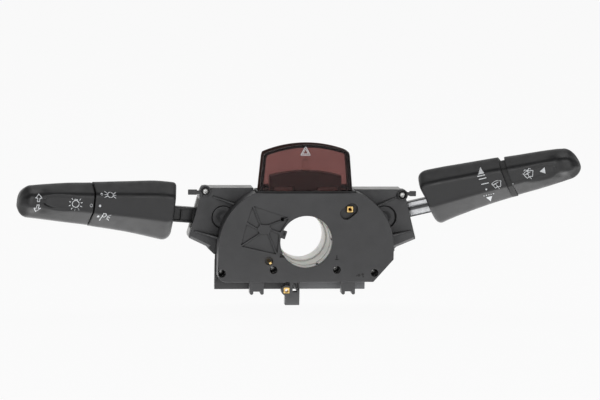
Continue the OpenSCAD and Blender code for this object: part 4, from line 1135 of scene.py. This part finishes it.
def square_nut(bm, low, high):
    """Square nut with chamfered corners and a threaded hole along Y."""
    middle = (low + high) / 2
    half = (high.x - low.x) / 2
    steps = 64

    def ring(y, size, square=False):
        points = []
        for j in range(steps):
            a = 2 * math.pi * (j + 0.5) / steps
            c, s = math.cos(a), math.sin(a)
            reach = min(size / max(abs(c), abs(s)), size * 1.30) if square else size
            points.append(Vector((middle.x + reach * c, y, middle.z + reach * s)))
        return points

    inset = half - NUT_CHAMFER
    rings = [
        ring(low.y + NUT_CHAMFER, half, True), ring(low.y, inset, True), ring(low.y, NUT_HOLE + 0.45),
        ring(low.y + 0.35, NUT_HOLE + 0.05),
    ]
    y = low.y + 0.35
    while y < high.y - 0.7:
        rings += [ring(y + NUT_PITCH * 0.3, NUT_HOLE - 0.12), ring(y + NUT_PITCH * 0.8, NUT_HOLE + 0.12)]
        y += NUT_PITCH
    rings += [
        ring(high.y - 0.3, NUT_HOLE), ring(high.y, NUT_HOLE + 0.3),
        ring(high.y, inset, True), ring(high.y - NUT_CHAMFER, half, True),
    ]
    rows = bridge_rings(bm, rings, close_ends=False)
    first, last = rows[0], rows[-1]
    for j in range(steps):
        k = (j + 1) % steps
        bm.faces.new((last[j], last[k], first[k], first[j]))


class MakeNuts(bpy.types.Operator):
    """Cut the square brass nuts of the shroud screws"""
    bl_idname = "stalk_switch.nuts"
    bl_label = "Square nuts"

    def execute(self, context):
        bm = bmesh.new()
        node = "square_nuts"
        for low, high in islands(node):
            square_nut(bm, low, high)
        replace_node(node, node + "_cut", mesh_from(node, bm), 35)
        return {"FINISHED"}


class MakeSprings(bpy.types.Operator):
    """Show the springs as coils in place of their nodes, each checked to be long enough for its joint's
    travel
    """
    bl_idname = "stalk_switch.springs"
    bl_label = "Springs"

    def execute(self, context):
        stalk = stalk_matrix(1)
        along = (stalk.to_3x3() @ Vector((1, 0, 0))).normalized()
        # far_end says that the end furthest along the axis stays where it is
        for node, joint, axis, far_end in (
            ("hazard_springs", "hazard_push", Vector((0, 0, 1)), False),
            ("horn_spring", "horn_press", Vector((0, 1, 0)), True),
            ("right_cap_spring", "wash_push", along, False),
        ):
            travel = TRAVEL[joint] / MM
            name = node + "_coil"
            mesh = mesh_from(name, clean_copy(node), 1.0)
            reach = [v.co.dot(axis) / MM for v in mesh.vertices]
            low, high = min(reach), max(reach)
            keep = 1 - travel / (high - low)
            if keep <= 0.1:
                raise RuntimeError(node + " is too short for its travel")
            piece = replace_node(node, name, mesh, 60)
            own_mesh(piece)
        return {"FINISHED"}


# Housing parts

# Rounding of each node's edges, in millimetres
ROUNDED = {
    "front_cover": 0.3, "main_frame": 0.25, "left_case_lid": 0.3, "right_case_lid": 0.3,
    "left_case": 0.3, "right_case": 0.3, "connector_housing": 0.25, "hazard_base": 0.2,
    "hazard_core": 0.3, "left_arm": 0.35, "right_arm": 0.2, "left_connector": 0.2,
    "right_connector": 0.2, "column_sleeve": 0.2, "clamp_band": 0.15, "cancel_pawl": 0.2,
    "hazard_lens": 0.5,
}
# The shortest edge that is rounded, also on two nodes that keep more of their small edges sharp
SHORTEST_EDGE = 0.25
SHORTEST_OF = {"main_frame": 0.6, "right_case_lid": 0.6}


class FinishNodes(bpy.types.Operator):
    """Give every CAD node its finish"""
    bl_idname = "stalk_switch.node_finishes"
    bl_label = "Node finishes"

    def execute(self, context):
        for name, node in frame["nodes"].items():
            node.data.materials.clear()
            node.data.materials.append(FINISHES[NODE_FINISH[name]])
        return {"FINISHED"}


class MakeHousing(bpy.types.Operator):
    """Round the edges of the moulded housing parts"""
    bl_idname = "stalk_switch.housing"
    bl_label = "Housing parts"

    def execute(self, context):
        scale = context.scene.switch_sizes.edge_round / MM / EDGE_ROUND
        for node, width in ROUNDED.items():
            softened_copy(node, width * scale, SHORTEST_OF.get(node, SHORTEST_EDGE))
        return {"FINISHED"}


# Stage

# How far the floor lies under the object, its size, and how the light table lies on it, in metres
FLOOR_DROP, FLOOR_SIZE = 0.004, 14
TABLE_LIFT, TABLE_Y, TABLE_SIZE, TABLE_POWER = 0.002, -0.005, (0.46, 0.12), 0.3
# The world's light: the directions (Y) that it changes over, and its strength before and behind
SKY_SPAN, SKY_STRENGTH = (0.2, 0.9), (0.08, 0.9)
# Each soft box, turned to the middle of the object: place and size in metres, and power in watts
SOFTBOXES = {
    "key_softbox": ((-0.4, -1.6, 0.35), (1.2, 0.7), 8.3),
    "fill_softbox": ((0.8, -1.5, 0.35), (1.0, 0.7), 5.4),
    "top_softbox": ((0.1, 0.5, 1.6), (1.8, 1.0), 6),
}


def area_lamp(name, place, size, power):
    data = bpy.data.lights.new(name, "AREA")
    data.shape = "RECTANGLE"
    data.size, data.size_y = size
    data.energy = power
    lamp = bpy.data.objects.new(name, data)
    bpy.context.collection.objects.link(lamp)
    lamp.location = place
    return lamp


def pale_floor_material():
    """Nearly white for the camera and in reflections, with a trace of the object's shadow."""
    material, tree, shader = new_material("pale_floor")
    feed(tree, shader, {"Base Color": (0.86, 0.86, 0.86, 1), "Roughness": 0.9})
    glow = add(tree, "Emission", {"Strength": 1.0}).outputs["Emission"]
    share = calculated(tree, "MULTIPLY", ray_is(tree, "Camera", "Glossy", "Transmission"), 0.93)
    both = add(tree, "MixShader", {"Fac": share, 1: shader.outputs["BSDF"], 2: glow})
    feed(tree, tree.nodes["Material Output"], {"Surface": both.outputs["Shader"]})
    return material


def studio_world():
    """Light from all round, brighter behind the object, and plain white for the camera."""
    world = bpy.data.worlds.new("studio")
    world.use_nodes = True
    tree = world.node_tree
    direction = add(tree, "TexCoord").outputs["Generated"]
    to_rear = add(tree, "SeparateXYZ", {"Vector": direction}).outputs["Y"]
    sky = tree.nodes["Background"]
    feed(tree, sky, {"Color": WHITE, "Strength": map_range(tree, to_rear, *SKY_SPAN, *SKY_STRENGTH)})
    white = add(tree, "Background", {"Color": WHITE, "Strength": 1.0}).outputs["Background"]
    seen = ray_is(tree, "Camera", "Transmission")
    both = add(tree, "MixShader", {"Fac": seen, 1: sky.outputs["Background"], 2: white})
    feed(tree, tree.nodes["World Output"], {"Surface": both.outputs["Shader"]})
    return world


def make_floor(level):
    bm = bmesh.new()
    bmesh.ops.create_grid(bm, x_segments=1, y_segments=1, size=FLOOR_SIZE)
    mesh = bpy.data.meshes.new("floor")
    bm.to_mesh(mesh)
    bm.free()
    mesh.materials.append(pale_floor_material())
    floor = bpy.data.objects.new("floor", mesh)
    bpy.context.scene.collection.objects.link(floor)
    floor.location = (0, 0, level)


def make_lamps(level):
    for name, (place, size, power) in SOFTBOXES.items():
        lamp = area_lamp(name, place, size, power)
        lamp.rotation_mode = "QUATERNION"
        lamp.rotation_quaternion = (-Vector(place)).to_track_quat("-Z", "Y")
    table = area_lamp("light_table", (0, TABLE_Y, level + TABLE_LIFT), TABLE_SIZE, TABLE_POWER)
    table.rotation_euler = (math.pi, 0, 0)
    table.visible_camera = False


def make_camera():
    data = bpy.data.cameras.new("camera")
    data.sensor_width = SENSOR_MM
    data.lens = LENS_MM
    data.clip_start, data.clip_end = 0.1, 60
    camera = bpy.data.objects.new("camera", data)
    bpy.context.scene.collection.objects.link(camera)
    turn = Matrix(view_axes()).transposed().to_4x4()
    camera.matrix_world = Matrix.Translation(camera_place() * MM) @ turn
    return camera


class MakeStage(bpy.types.Operator):
    """Set the floor, the studio light and the camera of the photograph"""
    bl_idname = "stalk_switch.stage"
    bl_label = "Stage"

    def execute(self, context):
        scene = context.scene
        scene.view_settings.view_transform = "Standard"
        scene.world = studio_world()
        level = CAD_BOX[0].z - FLOOR_DROP
        make_floor(level)
        make_lamps(level)
        scene.camera = make_camera()
        return {"FINISHED"}


# Add-on


class SwitchPanel(bpy.types.Panel):
    bl_idname = "VIEW3D_PT_stalk_switch"
    bl_label = "Stalk Switch"
    bl_space_type = "VIEW_3D"
    bl_region_type = "UI"
    bl_category = "Stalk Switch"

    def draw(self, context):
        for group in (context.scene.switch_sizes, context.scene.switch_colours):
            for name in group.__annotations__:
                self.layout.prop(group, name)
        for step in STEPS:
            self.layout.operator(step.bl_idname)


STEPS = (
    MakeStage, FinishNodes, MakeHousing, MakeHandles, MakeSymbols, MakeScrews, MakeNuts, MakeSprings,
)
CLASSES = (SwitchSizes, SwitchColours, *STEPS, SwitchPanel)


def register():
    for cls in CLASSES:
        bpy.utils.register_class(cls)
    bpy.types.Scene.switch_sizes = bpy.props.PointerProperty(type=SwitchSizes)
    bpy.types.Scene.switch_colours = bpy.props.PointerProperty(type=SwitchColours)


def unregister():
    del bpy.types.Scene.switch_colours
    del bpy.types.Scene.switch_sizes
    for cls in reversed(CLASSES):
        bpy.utils.unregister_class(cls)


def main():
    register()
    scene = bpy.context.scene
    make_finishes(scene.switch_sizes, scene.switch_colours)
    for step in STEPS:
        group, name = step.bl_idname.split(".")
        getattr(getattr(bpy.ops, group), name)()


if __name__ == "__main__":
    main()
